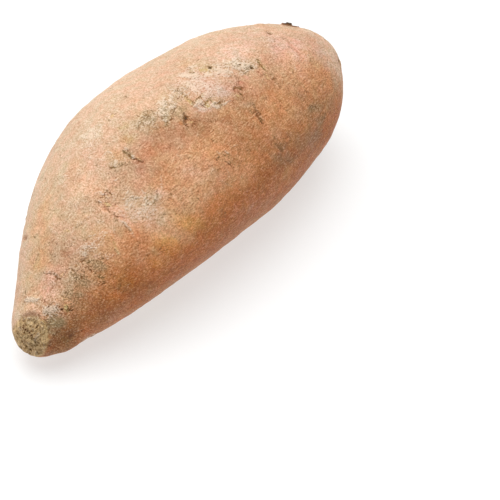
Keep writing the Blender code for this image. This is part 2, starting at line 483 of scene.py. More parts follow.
spot(22.5, 159.4, 3.94, 3.06, 42, ragged=0.25, broad=0.35, hard=-0.10, warmth=0.7, lift=-0.1)
spot(16.2, 168.2, 2.96, 2.28, 28, ragged=0.25, broad=0.35, hard=-0.10, warmth=0.6, lift=-0.5)
spot(52.9, 95.4, 4.51, 3.46, 61, ragged=0.25, broad=0.35, hard=-0.10, warmth=0.6)
spot(61.4, 111.4, 4.68, 4.19, 54, ragged=0.25, broad=0.35, hard=-0.10, warmth=0.5)
spot(81.5, 104.1, 3.64, 3.21, 35, ragged=0.25, broad=0.35, hard=-0.10, warmth=0.4)
spot(91.2, 120.9, 4.50, 2.12, 14, ragged=0.25, broad=0.35, hard=-0.10, warmth=0.2)
spot(32.3, 119.3, 2.48, 1.99, 57, ragged=0.25, broad=0.35, hard=-0.10, warmth=0.4)
spot(21.0, 71.7, 5.03, 5.80, 81, ragged=0.25, broad=0.35, hard=-0.10, lift=-0.15, warmth=0.25)
spot(9.7, 78.7, 5.72, 4.34, 67, ragged=0.25, broad=0.35, hard=-0.10, warmth=0.35)
spot(32.7, 97.3, 3.05, 1.95, 63, ragged=0.25, broad=0.35, hard=-0.10, warmth=0.3)
spot(85.2, 88.1, 3.91, 3.93, 46, ragged=0.25, broad=0.35, hard=-0.10, warmth=-0.4)
spot(144.8, 127.7, 7.26, 5.06, 8, ragged=0.25, broad=0.35, hard=-0.10, warmth=-0.4, lift=0.3)
spot(143.0, 149.2, 5.40, 5.43, 31, ragged=0.25, broad=0.35, hard=-0.10, lift=0.5)
# darker and warmer under the stub: painted shade and painted warm reflected light
spot(6.7, 162.1, 3.86, 3.86, 43, ragged=0.25, broad=0.35, hard=-0.10, lift=-1.1, warmth=0.4)
spot(2.2, 148.5, 2.14, 2.27, 38, ragged=0.25, broad=0.35, hard=-0.10, lift=-0.6)
spot(10.5, 186.3, 3.87, 4.28, 47, ragged=0.25, broad=0.35, hard=-0.10, lift=-0.6, warmth=0.5)
spot(-0.4, 42.9, 3.51, 1.32, 104, ragged=0.25, broad=0.35, hard=-0.10, lift=0.5)
spot(41.8, 101.1, 3.60, 3.12, 62, ragged=0.25, broad=0.35, hard=-0.10, lift=-0.1)
spot(108.1, 88.5, 4.17, 4.55, 33, ragged=0.25, broad=0.35, hard=-0.10, warmth=-0.3)
spot(78.6, 83.1, 3.98, 4.13, 72, ragged=0.25, broad=0.35, hard=-0.10, warmth=-0.1, lift=-0.2)
# more shifts, smaller
spot(24.5, 56.2, 7.73, 10.17, 90, ragged=0.25, broad=0.35, hard=-0.10, warmth=0.55)
spot(11.8, 58.4, 5.60, 8.10, 90, ragged=0.25, broad=0.35, hard=-0.10, warmth=0.4)
spot(32.8, 60.6, 7.90, 5.81, 84, ragged=0.25, broad=0.35, hard=-0.10, warmth=0.2)
spot(1.4, 71.2, 3.41, 2.10, 71, ragged=0.25, broad=0.35, hard=-0.10, warmth=0.2)
spot(58.6, 94.9, 3.35, 2.31, 59, ragged=0.25, broad=0.35, hard=-0.10, lift=-0.4, warmth=0.6)
spot(60.1, 116.0, 3.63, 2.33, 52, ragged=0.25, broad=0.35, hard=-0.10, lift=-0.5, warmth=0.3)
spot(92.9, 136.7, 5.92, 4.00, 46, ragged=0.25, broad=0.35, hard=-0.10, lift=-0.4, warmth=0.3)
spot(63.4, 80.9, 4.12, 3.57, 59, ragged=0.25, broad=0.35, hard=-0.10, lift=-0.2)
spot(89.3, 113.2, 5.57, 3.35, 37, ragged=0.25, broad=0.35, hard=-0.10, lift=0.7)
spot(81.7, 115.4, 3.20, 2.08, 35, ragged=0.25, broad=0.35, hard=-0.10, lift=0.5)
spot(105.3, 106.9, 4.20, 6.30, 45, ragged=0.25, broad=0.35, hard=-0.10, lift=0.5, warmth=-0.5)
spot(115.7, 100.5, 5.86, 3.65, 35, ragged=0.25, broad=0.35, hard=-0.10, lift=0.4, warmth=-0.2)
spot(85.6, 88.9, 3.94, 4.96, 70, ragged=0.25, broad=0.35, hard=-0.10, warmth=-0.4)
spot(150.0, 135.0, 7.10, 8.59, 24, ragged=0.25, broad=0.35, hard=-0.10, lift=0.5, warmth=-0.3)
spot(124.3, 126.6, 5.09, 4.06, 31, ragged=0.25, broad=0.35, hard=-0.10, lift=0.3)
spot(95.0, 160.5, 12.61, 5.16, 36, ragged=0.25, broad=0.35, hard=-0.10, warmth=0.3)
spot(102.1, 164.3, 7.88, 3.46, 28, ragged=0.25, broad=0.35, hard=-0.10, olive=0.35, lift=-0.3)
spot(77.3, 143.4, 4.89, 3.92, 31, ragged=0.25, broad=0.35, hard=-0.10, warmth=-0.3)
spot(20.2, 123.8, 3.35, 2.95, 54, ragged=0.25, broad=0.35, hard=-0.10, lift=0.7)
spot(11.4, 125.2, 3.80, 2.37, 58, ragged=0.25, broad=0.35, hard=-0.10, lift=0.8)
spot(26.5, 125.9, 2.75, 3.05, 55, ragged=0.25, broad=0.35, hard=-0.10, lift=0.3)
spot(31.3, 137.1, 3.01, 2.24, 49, ragged=0.25, broad=0.35, hard=-0.10, lift=0.5, warmth=-0.3)
spot(46.5, 126.5, 3.84, 3.01, 55, ragged=0.25, broad=0.35, hard=-0.10, lift=0.5)
spot(36.7, 117.2, 2.91, 2.26, 51, ragged=0.25, broad=0.35, hard=-0.10, lift=0.5)
spot(39.1, 93.6, 6.95, 2.82, 56, ragged=0.25, broad=0.35, hard=-0.10, lift=0.4)
spot(36.8, 136.4, 3.54, 1.72, 41, ragged=0.25, broad=0.35, hard=-0.10, lift=0.4)
spot(33.2, 122.2, 2.43, 1.77, 57, ragged=0.25, broad=0.35, hard=-0.10, warmth=0.6)
# warmer and darker spots low on the lower side: painted warm reflected light and painted shade
spot(56.4, 157.3, 6.49, 3.28, 35, ragged=0.25, broad=0.35, hard=-0.10, warmth=0.5)
spot(45.7, 162.3, 5.83, 3.37, 44, ragged=0.25, broad=0.35, hard=-0.10, warmth=0.7)
spot(39.6, 165.2, 5.82, 3.52, 37, ragged=0.25, broad=0.35, hard=-0.10, warmth=0.9)
spot(32.0, 166.7, 6.31, 3.23, 49, ragged=0.25, broad=0.35, hard=-0.10, warmth=0.6)
spot(25.4, 164.5, 4.75, 2.90, 43, ragged=0.25, broad=0.35, hard=-0.10, warmth=0.5)
spot(127.4, 151.9, 6.03, 3.08, 30, ragged=0.25, broad=0.35, hard=-0.10, olive=0.5)
spot(116.7, 156.4, 6.65, 3.13, 34, ragged=0.25, broad=0.35, hard=-0.10, warmth=0.5, lift=-0.3)
spot(130.5, 181.4, 9.36, 4.08, 43, ragged=0.25, broad=0.35, hard=-0.10, warmth=0.7, lift=-0.6)
spot(137.4, 110.2, 4.00, 6.30, 32, ragged=0.25, broad=0.35, hard=-0.10, pink=0.5)
spot(130.3, 127.3, 3.28, 3.64, 36, ragged=0.25, broad=0.35, hard=-0.10, pink=0.3, orange=0.2)
spot(71.0, 120.7, 5.04, 2.81, 24, ragged=0.25, broad=0.35, hard=-0.10, lift=-0.2, pink=0.2)
spot(50.7, 135.5, 2.82, 2.35, 27, ragged=0.25, broad=0.35, hard=-0.10, lift=-0.3)
spot(58.3, 142.2, 3.29, 2.74, 44, ragged=0.25, broad=0.35, hard=-0.10, lift=-0.3)
# darker and warmer under the stub: painted shade and painted warm reflected light
spot(5.3, 183.7, 6.08, 3.15, 38, ragged=0.25, broad=0.35, hard=-0.10, lift=-0.5, warmth=0.4)
spot(1.8, 154.8, 1.96, 2.26, 34, ragged=0.25, broad=0.35, hard=-0.10, lift=-0.3, warmth=0.6)
spot(125.6, 75.4, 6.58, 7.10, 58, ragged=0.25, broad=0.35, hard=-0.10, pink=0.3)
spot(109.2, 75.6, 4.90, 4.39, 45, ragged=0.25, broad=0.35, hard=-0.10, pink=0.25)
spot(153.7, 114.2, 7.49, 8.37, 24, ragged=0.25, broad=0.35, hard=-0.10, warmth=-0.4)
# the drier, paler back of the crown
spot(115.6, 95.5, 10.38, 8.50, 31, ragged=0.25, broad=0.35, hard=-0.10, lift=2.6, warmth=-0.4)
spot(135.5, 115.2, 11.94, 5.22, 6, ragged=0.25, broad=0.35, hard=-0.10, lift=1.2)
# the pale shoulder, pinker below
spot(88.8, 109.5, 7.28, 4.93, 18, ragged=0.25, broad=0.35, hard=-0.10, lift=1.6, pink=0.25)
# darker from the shoulder down to the crown's lower side: partly browner skin, partly painted shade
spot(92.9, 136.7, 17.77, 7.50, 46, ragged=0.25, broad=0.35, hard=-0.10, lift=-2.2, warmth=-0.5)
spot(111.6, 159.8, 18.00, 8.06, 35, ragged=0.25, broad=0.35, hard=-0.10, lift=-3.2, warmth=-0.2)
spot(96.3, 164.3, 11.41, 3.13, 21, ragged=0.25, broad=0.35, hard=-0.10, lift=-2.8)
# duller skin in the middle of the root
spot(67.5, 136.3, 8.72, 4.27, 28, ragged=0.25, broad=0.35, hard=-0.10, lift=0.6, warmth=-1)
spot(56.4, 116.9, 8.34, 2.93, 48, ragged=0.25, broad=0.35, hard=-0.10, lift=-1.4)
# the paler swell above the tail
spot(38.2, 86.3, 10.39, 3.72, 62, ragged=0.25, broad=0.35, hard=-0.10, lift=2.6)
spot(55.4, 133.4, 6.31, 2.89, 30, ragged=0.25, broad=0.35, hard=-0.10, lift=1.8, warmth=-0.7)
# the pinker swell towards the tail
spot(38.6, 113.3, 6.35, 3.27, 57, ragged=0.25, broad=0.35, hard=-0.10, lift=2.2, pink=0.2)
spot(42.1, 132.4, 5.09, 5.99, 47, ragged=0.25, broad=0.35, hard=-0.10, lift=2, pink=0.35)
spot(32.5, 114.5, 3.08, 2.40, 56, ragged=0.25, broad=0.35, hard=-0.10, pink=0.3, warmth=0.5)
# the warm orange hollow beside it: orange skin, with painted shade and painted warm reflected light
spot(47.0, 163.8, 9.24, 4.10, 41, ragged=0.25, broad=0.35, hard=-0.10, orange=0.3, warmth=1, red=0.08)
spot(59.4, 166.8, 5.68, 4.29, 39, ragged=0.25, broad=0.35, hard=-0.10, lift=-1.4, warmth=0.6)
# the warm rim of the tail
spot(17.6, 70.2, 5.01, 5.56, 78, ragged=0.25, broad=0.35, hard=-0.10, orange=0.12, warmth=1)
# the pale pinkish top of the tail
spot(9.0, 111.8, 6.88, 5.82, 61, ragged=0.25, broad=0.35, hard=-0.10, lift=4.2, pink=0.3)
# the darker lower side of the tail: painted shade
spot(20.2, 158.1, 3.89, 6.28, 38, ragged=0.25, broad=0.35, hard=-0.10, lift=-2.6)
spot(33.1, 175.8, 8.19, 4.36, 43, ragged=0.25, broad=0.35, hard=-0.10, lift=-3.4)
# redder skin where the swells meet
spot(54.2, 147.2, 6.36, 2.87, 49, ragged=0.25, broad=0.35, hard=-0.10, orange=0.3, red=0.1)
spot(54.4, 94.5, 6.12, 3.07, 51, ragged=0.25, broad=0.35, hard=-0.10, pink=0.35, orange=0.12)
spot(26.6, 56.2, 5.02, 3.40, 91, ragged=0.25, broad=0.35, hard=-0.10, orange=0.15, pink=0.1)
# smudges by the crown
spot(137.3, 88.0, 0.99, 1.02, 27, ragged=0.50, hard=0.20, dark=0.45, height=-0.1)
spot(138.7, 98.8, 1.18, 0.90, 32, ragged=0.50, hard=0.20, dark=0.35, umber=0.3)
stroke([(119.7, 105.3), (118.9, 109.7), (118.9, 114.7)], 0.45, dark=0.55, yellow=0.4, height=-0.2)
stroke([(149.3, 133.8), (147.3, 135.0)], 0.40, dark=0.5, height=-0.15)
stroke([(136.9, 111.9), (136.3, 116.7)], 0.40, red=0.6, dark=0.2, height=-0.1)
stroke([(133.0, 122.6), (135.9, 121.2)], 0.35, red=0.6, dark=0.2)

# slow swells and hollows of the upper side
for x, d, ru, rv, rot, rise in (
    (84, 120, 19, 7.5, 0, -0.85),
    (66, 108, 10, 6, 0, -0.35),
    (86, 101, 20, 6, 0, 0.45),
    (76, 141, 20, 9, 0, 0.65),
    (48, 146, 12, 10, 0, 0.45),
    (104, 88, 12, 4, 15, 0.35),
    (40, 110, 7, 12, 30, 0.25),
    (31, 112, 4, 10, 30, -0.2),
    (14, 96, 4, 9, 0, 0.3),
    (20, 100, 3, 9, 0, -0.25),
    (11, 120, 3, 5, 30, 0.35),
    (120, 112, 4, 9, 0, -0.2),
    (128, 112, 8, 12, 0, 0.3),
):
    spot(x, d, ru, rv, rot, ragged=0.1, broad=0.2, hard=-0.3, height=rise)

# --- eyes, pits, scars and creases -------------------------------------------
# the pits, streaks and flaking skin of the rubbed shoulder
spot(103.0, 91.9, 0.58, 0.60, 59, ragged=0.15, hard=0.50, dark=3.0, shade=1.4, height=-0.6)
spot(114.7, 106.7, 0.58, 0.68, 18, ragged=0.15, hard=0.50, dark=3.0, shade=1.4, height=-0.7)
stroke([(99.4, 90.2), (101.1, 91.1), (102.1, 92.4)], 0.60, yellow=0.7, height=0.1)
stroke([(103.0, 93.4), (103.5, 97.0)], 0.50, yellow=0.4, height=0.1)
spot(94.0, 85.6, 2.01, 1.54, 46, ragged=0.50, hard=0.20, pale=0.75, height=0.12)
spot(96.4, 90.8, 1.65, 1.51, 39, ragged=0.50, hard=0.20, pale=0.75, height=0.12)
spot(99.6, 95.3, 1.52, 0.87, 19, ragged=0.50, hard=0.20, pale=0.6, height=0.1)
spot(104.1, 89.7, 2.37, 1.02, 35, ragged=0.40, hard=0.20, pale=0.45)
spot(111.1, 99.7, 1.83, 2.46, 39, ragged=0.50, hard=0.20, pale=0.65, grey=0.25, height=0.1)
spot(113.0, 104.1, 1.83, 2.27, 46, ragged=0.50, hard=0.20, pale=0.6, grey=0.35, height=0.1)
spot(105.7, 99.8, 2.45, 1.27, 40, ragged=0.50, hard=0.20, pale=0.6, height=0.12)
spot(109.3, 106.2, 2.30, 0.89, 43, ragged=0.50, hard=0.20, pale=0.5, grey=0.2)
stroke([(99.0, 82.1), (98.4, 85.2)], 0.40, dark=0.5, red=0.3, height=-0.12)
stroke([(96.4, 86.5), (97.0, 88.5)], 0.35, dark=0.4, height=-0.1)
stroke([(112.9, 101.2), (111.1, 102.8)], 0.35, dark=0.4, height=-0.1)
stroke([(111.2, 105.2), (111.1, 107.5), (113.0, 107.2)], 0.35, dark=0.45, height=-0.1)
stroke([(107.0, 105.5), (107.8, 108.3)], 0.35, dark=0.35, height=-0.1)
spot(102.5, 98.4, 0.38, 0.53, 26, ragged=0.30, hard=0.40, dark=0.55)
spot(104.4, 101.5, 0.50, 0.64, 65, ragged=0.30, hard=0.40, dark=0.4)
stroke([(94.9, 92.2), (96.2, 93.5)], 0.35, dark=0.3, height=-0.1)
stroke([(84.6, 91.7), (85.7, 93.0)], 0.50, dark=0.5, grey=0.5, height=-0.12)
stroke([(86.2, 98.3), (86.3, 101.0)], 0.40, dark=0.3, yellow=0.3)
stroke([(88.0, 108.3), (87.5, 110.4)], 0.35, dark=0.4)
stroke([(84.7, 101.1), (84.4, 104.1), (84.3, 106.7)], 0.45, yellow=0.5, height=0.1)
spot(86.3, 107.1, 1.59, 1.58, 50, ragged=0.60, hard=0.20, pale=0.5, pink=0.2, height=0.15)
spot(91.3, 114.0, 1.60, 1.81, 35, ragged=0.60, hard=0.20, pale=0.8, grey=0.3, height=0.15)
spot(94.6, 112.5, 1.19, 1.77, 51, ragged=0.60, hard=0.20, pale=0.5)
spot(86.9, 112.3, 1.42, 0.52, 16, ragged=0.60, hard=0.20, pale=0.4, pink=0.5)
spot(82.6, 89.6, 3.01, 4.25, 70, ragged=0.60, hard=0.10, pale=0.35, yellow=0.25)
spot(82.7, 95.1, 2.41, 2.09, 42, ragged=0.60, hard=0.10, grey=0.45)
spot(78.3, 97.0, 0.53, 0.59, 44, ragged=0.40, hard=0.40, dark=0.7, height=-0.15)
spot(74.3, 99.8, 1.46, 2.57, 45, ragged=0.60, hard=0.10, grey=0.45, pale=0.45)
spot(91.0, 94.2, 2.00, 2.45, 49, ragged=0.60, hard=0.10, pale=0.3)
# the dark dent below it
spot(78.8, 109.7, 1.44, 3.03, 23, ragged=0.10, hard=-0.20, height=-0.5)
stroke([(80.0, 105.7), (78.6, 107.6), (77.5, 109.5)], 0.55, dark=0.85, height=-0.25)
spot(79.4, 108.9, 0.64, 0.77, 52, ragged=0.50, hard=0.40, dark=1, yellow=0.4, height=-0.2)
stroke([(77.3, 109.7), (77.1, 112.2), (76.6, 114.1)], 0.60, dark=0.8, height=-0.2)
stroke([(77.3, 114.5), (78.6, 114.6)], 0.40, dark=0.5)
stroke([(80.9, 113.2), (79.3, 114.6)], 0.40, dark=0.45)
stroke([(78.7, 112.2), (79.9, 112.5)], 0.40, yellow=0.6, height=0.1)
spot(75.7, 109.7, 0.88, 0.97, 23, ragged=0.50, hard=0.20, orange=0.9, dark=0.15)
spot(79.1, 114.0, 1.76, 2.13, 48, ragged=0.60, hard=0.10, umber=0.30, dark=0.12)
stroke([(78.1, 118.0), (78.3, 120.2), (78.7, 123.6)], 0.90, dark=0.22, umber=0.3, height=-0.08)
spot(75.5, 114.0, 0.59, 0.59, 48, ragged=0.40, hard=0.30, dark=0.45)
stroke([(73.8, 104.6), (74.8, 105.5)], 0.35, dark=0.65, height=-0.12)
stroke([(71.1, 104.2), (72.3, 104.8)], 0.70, dark=0.6, grey=0.4, height=-0.15)
stroke([(69.5, 105.3), (71.2, 106.9)], 0.35, dark=0.4)
stroke([(74.8, 103.3), (76.1, 102.9)], 0.40, dark=0.5)
spot(64.3, 95.4, 0.36, 0.46, 65, ragged=0.40, hard=0.40, dark=0.9, height=-0.2)
stroke([(65.1, 92.0), (64.6, 94.0)], 0.40, dark=0.5)
stroke([(69.5, 89.8), (70.9, 89.8)], 0.45, dark=0.6, height=-0.12)
stroke([(68.7, 93.5), (69.9, 94.0)], 0.45, dark=0.4)
spot(68.9, 98.2, 0.40, 0.39, 33, ragged=0.30, hard=0.40, dark=0.5)
spot(69.3, 101.5, 0.56, 0.64, 46, ragged=0.40, hard=0.40, dark=0.5)
stroke([(67.9, 102.5), (69.2, 103.5)], 0.40, dark=0.45)
spot(65.4, 90.1, 0.43, 0.52, 61, ragged=0.40, hard=0.40, dark=0.4)
stroke([(66.6, 94.0), (67.7, 94.9)], 0.40, dark=0.4)
spot(62.4, 87.4, 1.63, 2.06, 64, ragged=0.60, hard=0.10, yellow=0.35, grey=0.2)
spot(70.2, 93.5, 1.30, 2.33, 53, ragged=0.60, hard=0.10, orange=0.35)
spot(77.6, 93.6, 2.07, 2.02, 42, ragged=0.60, hard=0.10, pale=0.75, yellow=0.1)
# the patch of short scratches
stroke([(101.6, 110.9), (103.1, 111.1), (103.8, 113.2)], 0.50, dark=0.75, height=-0.2)
stroke([(104.3, 113.9), (105.7, 113.9)], 0.50, dark=0.8, height=-0.2)
stroke([(102.6, 115.1), (102.5, 116.8)], 0.50, dark=0.85, height=-0.2)
stroke([(101.4, 112.5), (101.6, 113.7)], 0.40, dark=0.5)
stroke([(102.3, 117.5), (101.7, 119.5)], 0.45, dark=0.6)
stroke([(99.5, 116.1), (99.9, 117.8)], 0.40, dark=0.4)
stroke([(97.8, 115.6), (98.4, 118.2)], 0.45, dark=0.5)
stroke([(100.6, 120.7), (100.6, 122.3)], 0.40, dark=0.45)
stroke([(101.1, 115.1), (101.1, 116.5)], 0.40, yellow=0.6, height=0.1)
spot(106.8, 110.5, 1.16, 0.88, 38, ragged=0.50, hard=0.20, red=0.8, dark=0.15)
spot(109.8, 110.3, 1.12, 0.82, 47, ragged=0.50, hard=0.20, pink=0.8, red=0.2)
spot(102.5, 115.2, 2.43, 3.13, 21, ragged=0.60, hard=0.10, umber=0.35)
spot(99.8, 122.6, 2.23, 2.89, 44, ragged=0.60, hard=0.10, umber=0.35, grey=0.2)
# the slanted scar near the crown
stroke([(119.9, 104.1), (119.5, 107.1), (118.8, 110.8), (118.9, 113.9)], 0.60, dark=0.55, yellow=0.5, height=-0.25)
stroke([(115.9, 109.0), (117.1, 109.4)], 0.40, dark=0.45)
stroke([(117.1, 113.8), (117.1, 117.0)], 0.50, dark=0.4, height=-0.1)
stroke([(118.7, 116.9), (119.7, 118.4)], 0.45, dark=0.55)
stroke([(117.6, 120.6), (119.3, 120.9)], 0.55, dark=0.8, height=-0.15)
stroke([(117.6, 123.4), (118.1, 124.9)], 0.50, dark=0.6)
stroke([(118.1, 126.3), (117.6, 128.2)], 0.50, dark=0.6)
stroke([(115.2, 111.3), (115.3, 113.9)], 0.40, red=0.5, dark=0.35)
stroke([(117.1, 115.3), (116.4, 119.0)], 0.40, yellow=0.5, height=0.1)
spot(115.7, 119.3, 3.56, 1.68, 12, ragged=0.60, hard=0.10, umber=0.25)
spot(118.3, 109.7, 1.06, 0.63, 12, ragged=0.50, hard=0.20, yellow=0.6)
# the long mark on the orange side
stroke([(101.0, 127.8), (101.4, 131.0), (101.7, 134.4), (101.5, 138.1)], 1.15, dark=0.22, height=-0.2)
stroke([(101.3, 129.0), (101.5, 132.0), (101.8, 134.4), (101.5, 138.6)], 0.42, wander=0.3, dark=0.75, height=-0.2)
stroke([(102.8, 127.1), (102.8, 130.8), (102.5, 134.8), (102.7, 137.2)], 0.36, wander=0.3, grey=0.4, pale=0.2, height=0.12)
stroke([(103.5, 125.0), (103.2, 128.6), (103.0, 132.4), (103.1, 136.6)], 0.35, dark=0.4, height=-0.1)
stroke([(100.7, 126.6), (100.7, 129.4)], 0.50, dark=0.5)
spot(101.3, 122.9, 2.53, 1.41, 29, ragged=0.60, hard=0.10, pink=0.3, grey=0.35)
# the slanted eye in its hollow
stroke([(55.4, 92.9), (55.7, 96.3)], 0.55, dark=0.28)
spot(55.9, 98.2, 0.48, 0.41, 58, ragged=0.30, hard=0.40, dark=0.75, height=-0.2)
stroke([(54.9, 97.1), (54.9, 99.8), (54.7, 103.2)], 1.00, dark=0.45, grey=0.8, olive=0.3, height=-0.45)
stroke([(54.7, 100.6), (54.4, 103.9)], 0.45, dark=0.6, height=-0.2)
stroke([(55.4, 102.8), (54.9, 104.3)], 0.50, pale=1.1, height=0.4)
stroke([(54.7, 104.8), (55.6, 106.2), (55.4, 108.1), (56.1, 110.1)], 0.55, dark=1, height=-0.45)
stroke([(56.1, 105.9), (56.1, 108.7)], 0.45, yellow=0.5, height=0.3)
spot(54.2, 107.6, 1.73, 0.67, 52, ragged=0.50, hard=0.10, umber=0.4, red=0.15)
spot(50.1, 96.2, 1.40, 1.35, 54, ragged=0.60, hard=0.10, pale=0.5)
spot(51.4, 102.8, 1.61, 1.14, 55, ragged=0.60, hard=0.10, grey=0.25)
spot(47.7, 100.6, 0.59, 0.38, 61, ragged=0.40, hard=0.40, dark=0.5)
spot(64.3, 76.1, 0.65, 1.09, 76, ragged=0.40, hard=0.20, yellow=0.9)
stroke([(64.8, 74.8), (65.4, 76.6)], 0.40, dark=0.7)
# small marks on the lower swell
stroke([(76.3, 138.4), (78.1, 138.0)], 0.42, dark=1, height=-0.2)
stroke([(78.9, 134.4), (78.4, 136.9)], 0.35, pale=0.7, height=0.1)
stroke([(80.4, 137.2), (80.6, 140.8)], 0.40, dark=0.65, height=-0.12)
stroke([(81.2, 137.7), (81.9, 140.6)], 0.35, pale=0.6, height=0.1)
spot(81.6, 141.9, 0.56, 0.47, 25, ragged=0.30, hard=0.40, dark=0.75, height=-0.12)
spot(80.1, 129.2, 0.96, 0.70, 28, ragged=0.50, hard=0.20, dark=0.3, umber=0.3)
spot(74.1, 125.3, 0.65, 0.36, 25, ragged=0.30, hard=0.40, dark=0.5)
spot(86.7, 129.2, 0.58, 0.50, 22, ragged=0.40, hard=0.40, dark=0.4)
spot(72.3, 138.6, 0.64, 0.40, 33, ragged=0.40, hard=0.40, dark=0.35)
stroke([(63.4, 101.4), (64.6, 102.7)], 0.35, dark=0.35)
stroke([(63.9, 105.3), (64.7, 106.1)], 0.40, dark=0.4)
stroke([(59.4, 101.5), (60.0, 102.5)], 0.40, dark=0.5)
spot(60.2, 93.5, 0.44, 0.35, 60, ragged=0.40, hard=0.40, dark=0.4)
# the squiggling crack and its neighbours on the tail
stroke([(13.9, 78.8), (14.4, 84.4)], 0.40, dark=0.65, height=-0.2)
stroke([(14.4, 88.6), (14.9, 90.1), (15.1, 93.6)], 0.45, dark=0.75, height=-0.25)
stroke([(15.6, 96.3), (15.6, 99.3), (15.3, 102.7), (15.7, 105.7)], 0.45, dark=0.8, height=-0.25)
stroke([(16.0, 104.9), (16.8, 106.1)], 0.40, yellow=0.6, height=0.1)
stroke([(14.9, 83.6), (15.6, 90.6), (16.0, 97.0), (16.0, 102.7)], 0.50, pale=0.4, height=0.25)
stroke([(22.0, 51.7), (22.6, 52.1), (23.0, 55.0), (23.2, 58.9)], 0.50, dark=0.65, height=-0.2)
stroke([(16.7, 55.4), (17.1, 60.1), (17.1, 64.7)], 0.45, dark=0.35, height=-0.12)
spot(17.1, 68.4, 0.50, 0.31, 85, ragged=0.30, hard=0.40, dark=0.4)
spot(21.3, 101.8, 0.96, 0.28, 56, ragged=0.40, hard=0.30, dark=0.9, height=-0.3)
spot(21.8, 97.1, 2.26, 1.65, 68, ragged=0.60, hard=0.10, umber=0.35)
spot(20.8, 112.5, 0.62, 0.54, 60, ragged=0.50, hard=0.20, orange=0.9, dark=0.2)
stroke([(19.4, 109.7), (19.3, 115.3)], 0.50, dark=0.38, height=-0.1)
stroke([(22.2, 114.7), (23.4, 116.1), (23.5, 118.9), (23.5, 122.4)], 0.50, dark=0.42, height=-0.15)
stroke([(23.8, 121.5), (24.5, 123.8), (25.3, 124.6)], 0.50, dark=0.5, height=-0.12)
stroke([(22.6, 121.6), (22.5, 124.5), (22.9, 127.9)], 0.45, dark=0.42)
stroke([(23.0, 127.2), (23.2, 130.8), (23.2, 133.7)], 0.40, dark=0.6, height=-0.12)
stroke([(22.7, 134.5), (23.4, 137.2)], 0.40, dark=0.55)
stroke([(23.4, 137.8), (24.0, 141.2)], 0.45, dark=0.95, height=-0.2)
spot(22.1, 137.1, 0.46, 0.43, 52, ragged=0.40, hard=0.40, dark=0.35)
stroke([(20.8, 107.7), (21.9, 110.3), (23.0, 112.5)], 0.50, pale=0.3, height=0.18)
stroke([(20.0, 115.9), (21.1, 118.1), (21.3, 123.0)], 0.50, pale=0.3, height=0.18)
spot(25.3, 131.6, 3.09, 1.83, 49, ragged=0.50, hard=0.15, grey=0.50, olive=0.25)
spot(19.5, 127.4, 2.68, 2.33, 52, ragged=0.50, hard=0.15, grey=0.40)
spot(16.5, 135.5, 1.97, 1.26, 43, ragged=0.50, hard=0.15, grey=0.45, olive=0.1)
spot(20.6, 137.3, 1.94, 1.82, 55, ragged=0.50, hard=0.15, grey=0.35, umber=0.25)
spot(18.2, 149.7, 3.28, 1.49, 46, ragged=0.50, hard=0.15, umber=0.6)
spot(15.8, 146.7, 2.39, 2.13, 46, ragged=0.50, hard=0.15, umber=0.3)
spot(28.4, 128.8, 4.00, 1.41, 51, ragged=0.50, hard=0.15, pale=0.45)
spot(24.9, 115.3, 1.68, 1.15, 50, ragged=0.50, hard=0.15, pale=0.45)
spot(26.4, 123.5, 1.25, 0.83, 55, ragged=0.50, hard=0.15, pink=0.6)
stroke([(32.7, 127.8), (32.3, 132.4), (31.6, 137.1)], 0.50, yellow=0.6, pale=0.2, height=0.2)
stroke([(31.7, 132.2), (31.5, 135.9)], 0.40, dark=0.35)
stroke([(11.6, 130.2), (11.5, 135.4)], 0.65, yellow=1, height=0.1)
stroke([(11.9, 134.1), (11.9, 139.3), (12.2, 143.5)], 0.55, dark=0.8, height=-0.2)
spot(10.1, 130.8, 0.53, 0.34, 44, ragged=0.30, hard=0.40, dark=1.4, height=-0.35)
spot(8.3, 132.2, 0.53, 0.38, 58, ragged=0.40, hard=0.40, dark=0.45)
stroke([(8.6, 100.5), (8.8, 105.9)], 0.42, dark=0.5, height=-0.1)
stroke([(6.7, 63.3), (7.5, 75.0), (7.5, 83.8), (8.5, 93.5)], 0.50, pale=0.9, height=0.25)
spot(7.4, 115.4, 1.44, 0.95, 60, ragged=0.50, hard=0.20, pale=0.65, grey=0.2)
spot(9.2, 123.8, 1.81, 1.10, 57, ragged=0.50, hard=0.20, grey=0.45, pale=0.35)
spot(22.1, 114.6, 0.88, 0.51, 61, ragged=0.50, hard=0.20, orange=0.5)
spot(12.5, 125.9, 1.50, 0.98, 60, ragged=0.60, hard=0.10, yellow=0.3)
spot(5.8, 79.5, 3.94, 1.42, 63, ragged=0.50, hard=0.10, peach=0.7)
spot(11.4, 102.7, 3.31, 2.09, 63, ragged=0.50, hard=0.10, pink=0.45)

# the forked cracks in the pale shoulder, with lifted edges
stroke([(85.4, 95.6), (85.1, 98.6), (85.0, 101.3), (85.6, 104.3)], 0.46, dark=0.5, yellow=1.2, olive=0.5, height=-0.2)
stroke([(91.5, 103.8), (89.8, 104.2), (87.8, 104.4), (85.7, 105.3)], 0.46, dark=0.55, yellow=1.3, olive=0.5, height=-0.2)
stroke([(90.3, 104.9), (87.8, 105.7), (86.2, 105.7)], 0.32, pale=0.6, yellow=0.3, height=0.14)
stroke([(84.6, 97.9), (84.1, 101.5), (84.2, 105.6)], 0.40, yellow=0.8, pale=0.2, height=0.22)
stroke([(87.5, 109.7), (89.3, 108.5), (91.6, 107.7)], 0.44, dark=0.45, yellow=1.3, height=-0.16)
stroke([(91.8, 108.0), (91.5, 109.7), (91.5, 112.5)], 0.40, dark=0.42, yellow=0.8, olive=0.4, height=-0.14)
stroke([(89.8, 109.1), (89.3, 110.4), (88.2, 110.9)], 1.0, yellow=1.3)
stroke([(90.3, 111.3), (90.4, 113.7), (91.3, 115.1)], 0.40, pale=0.5, height=0.1)
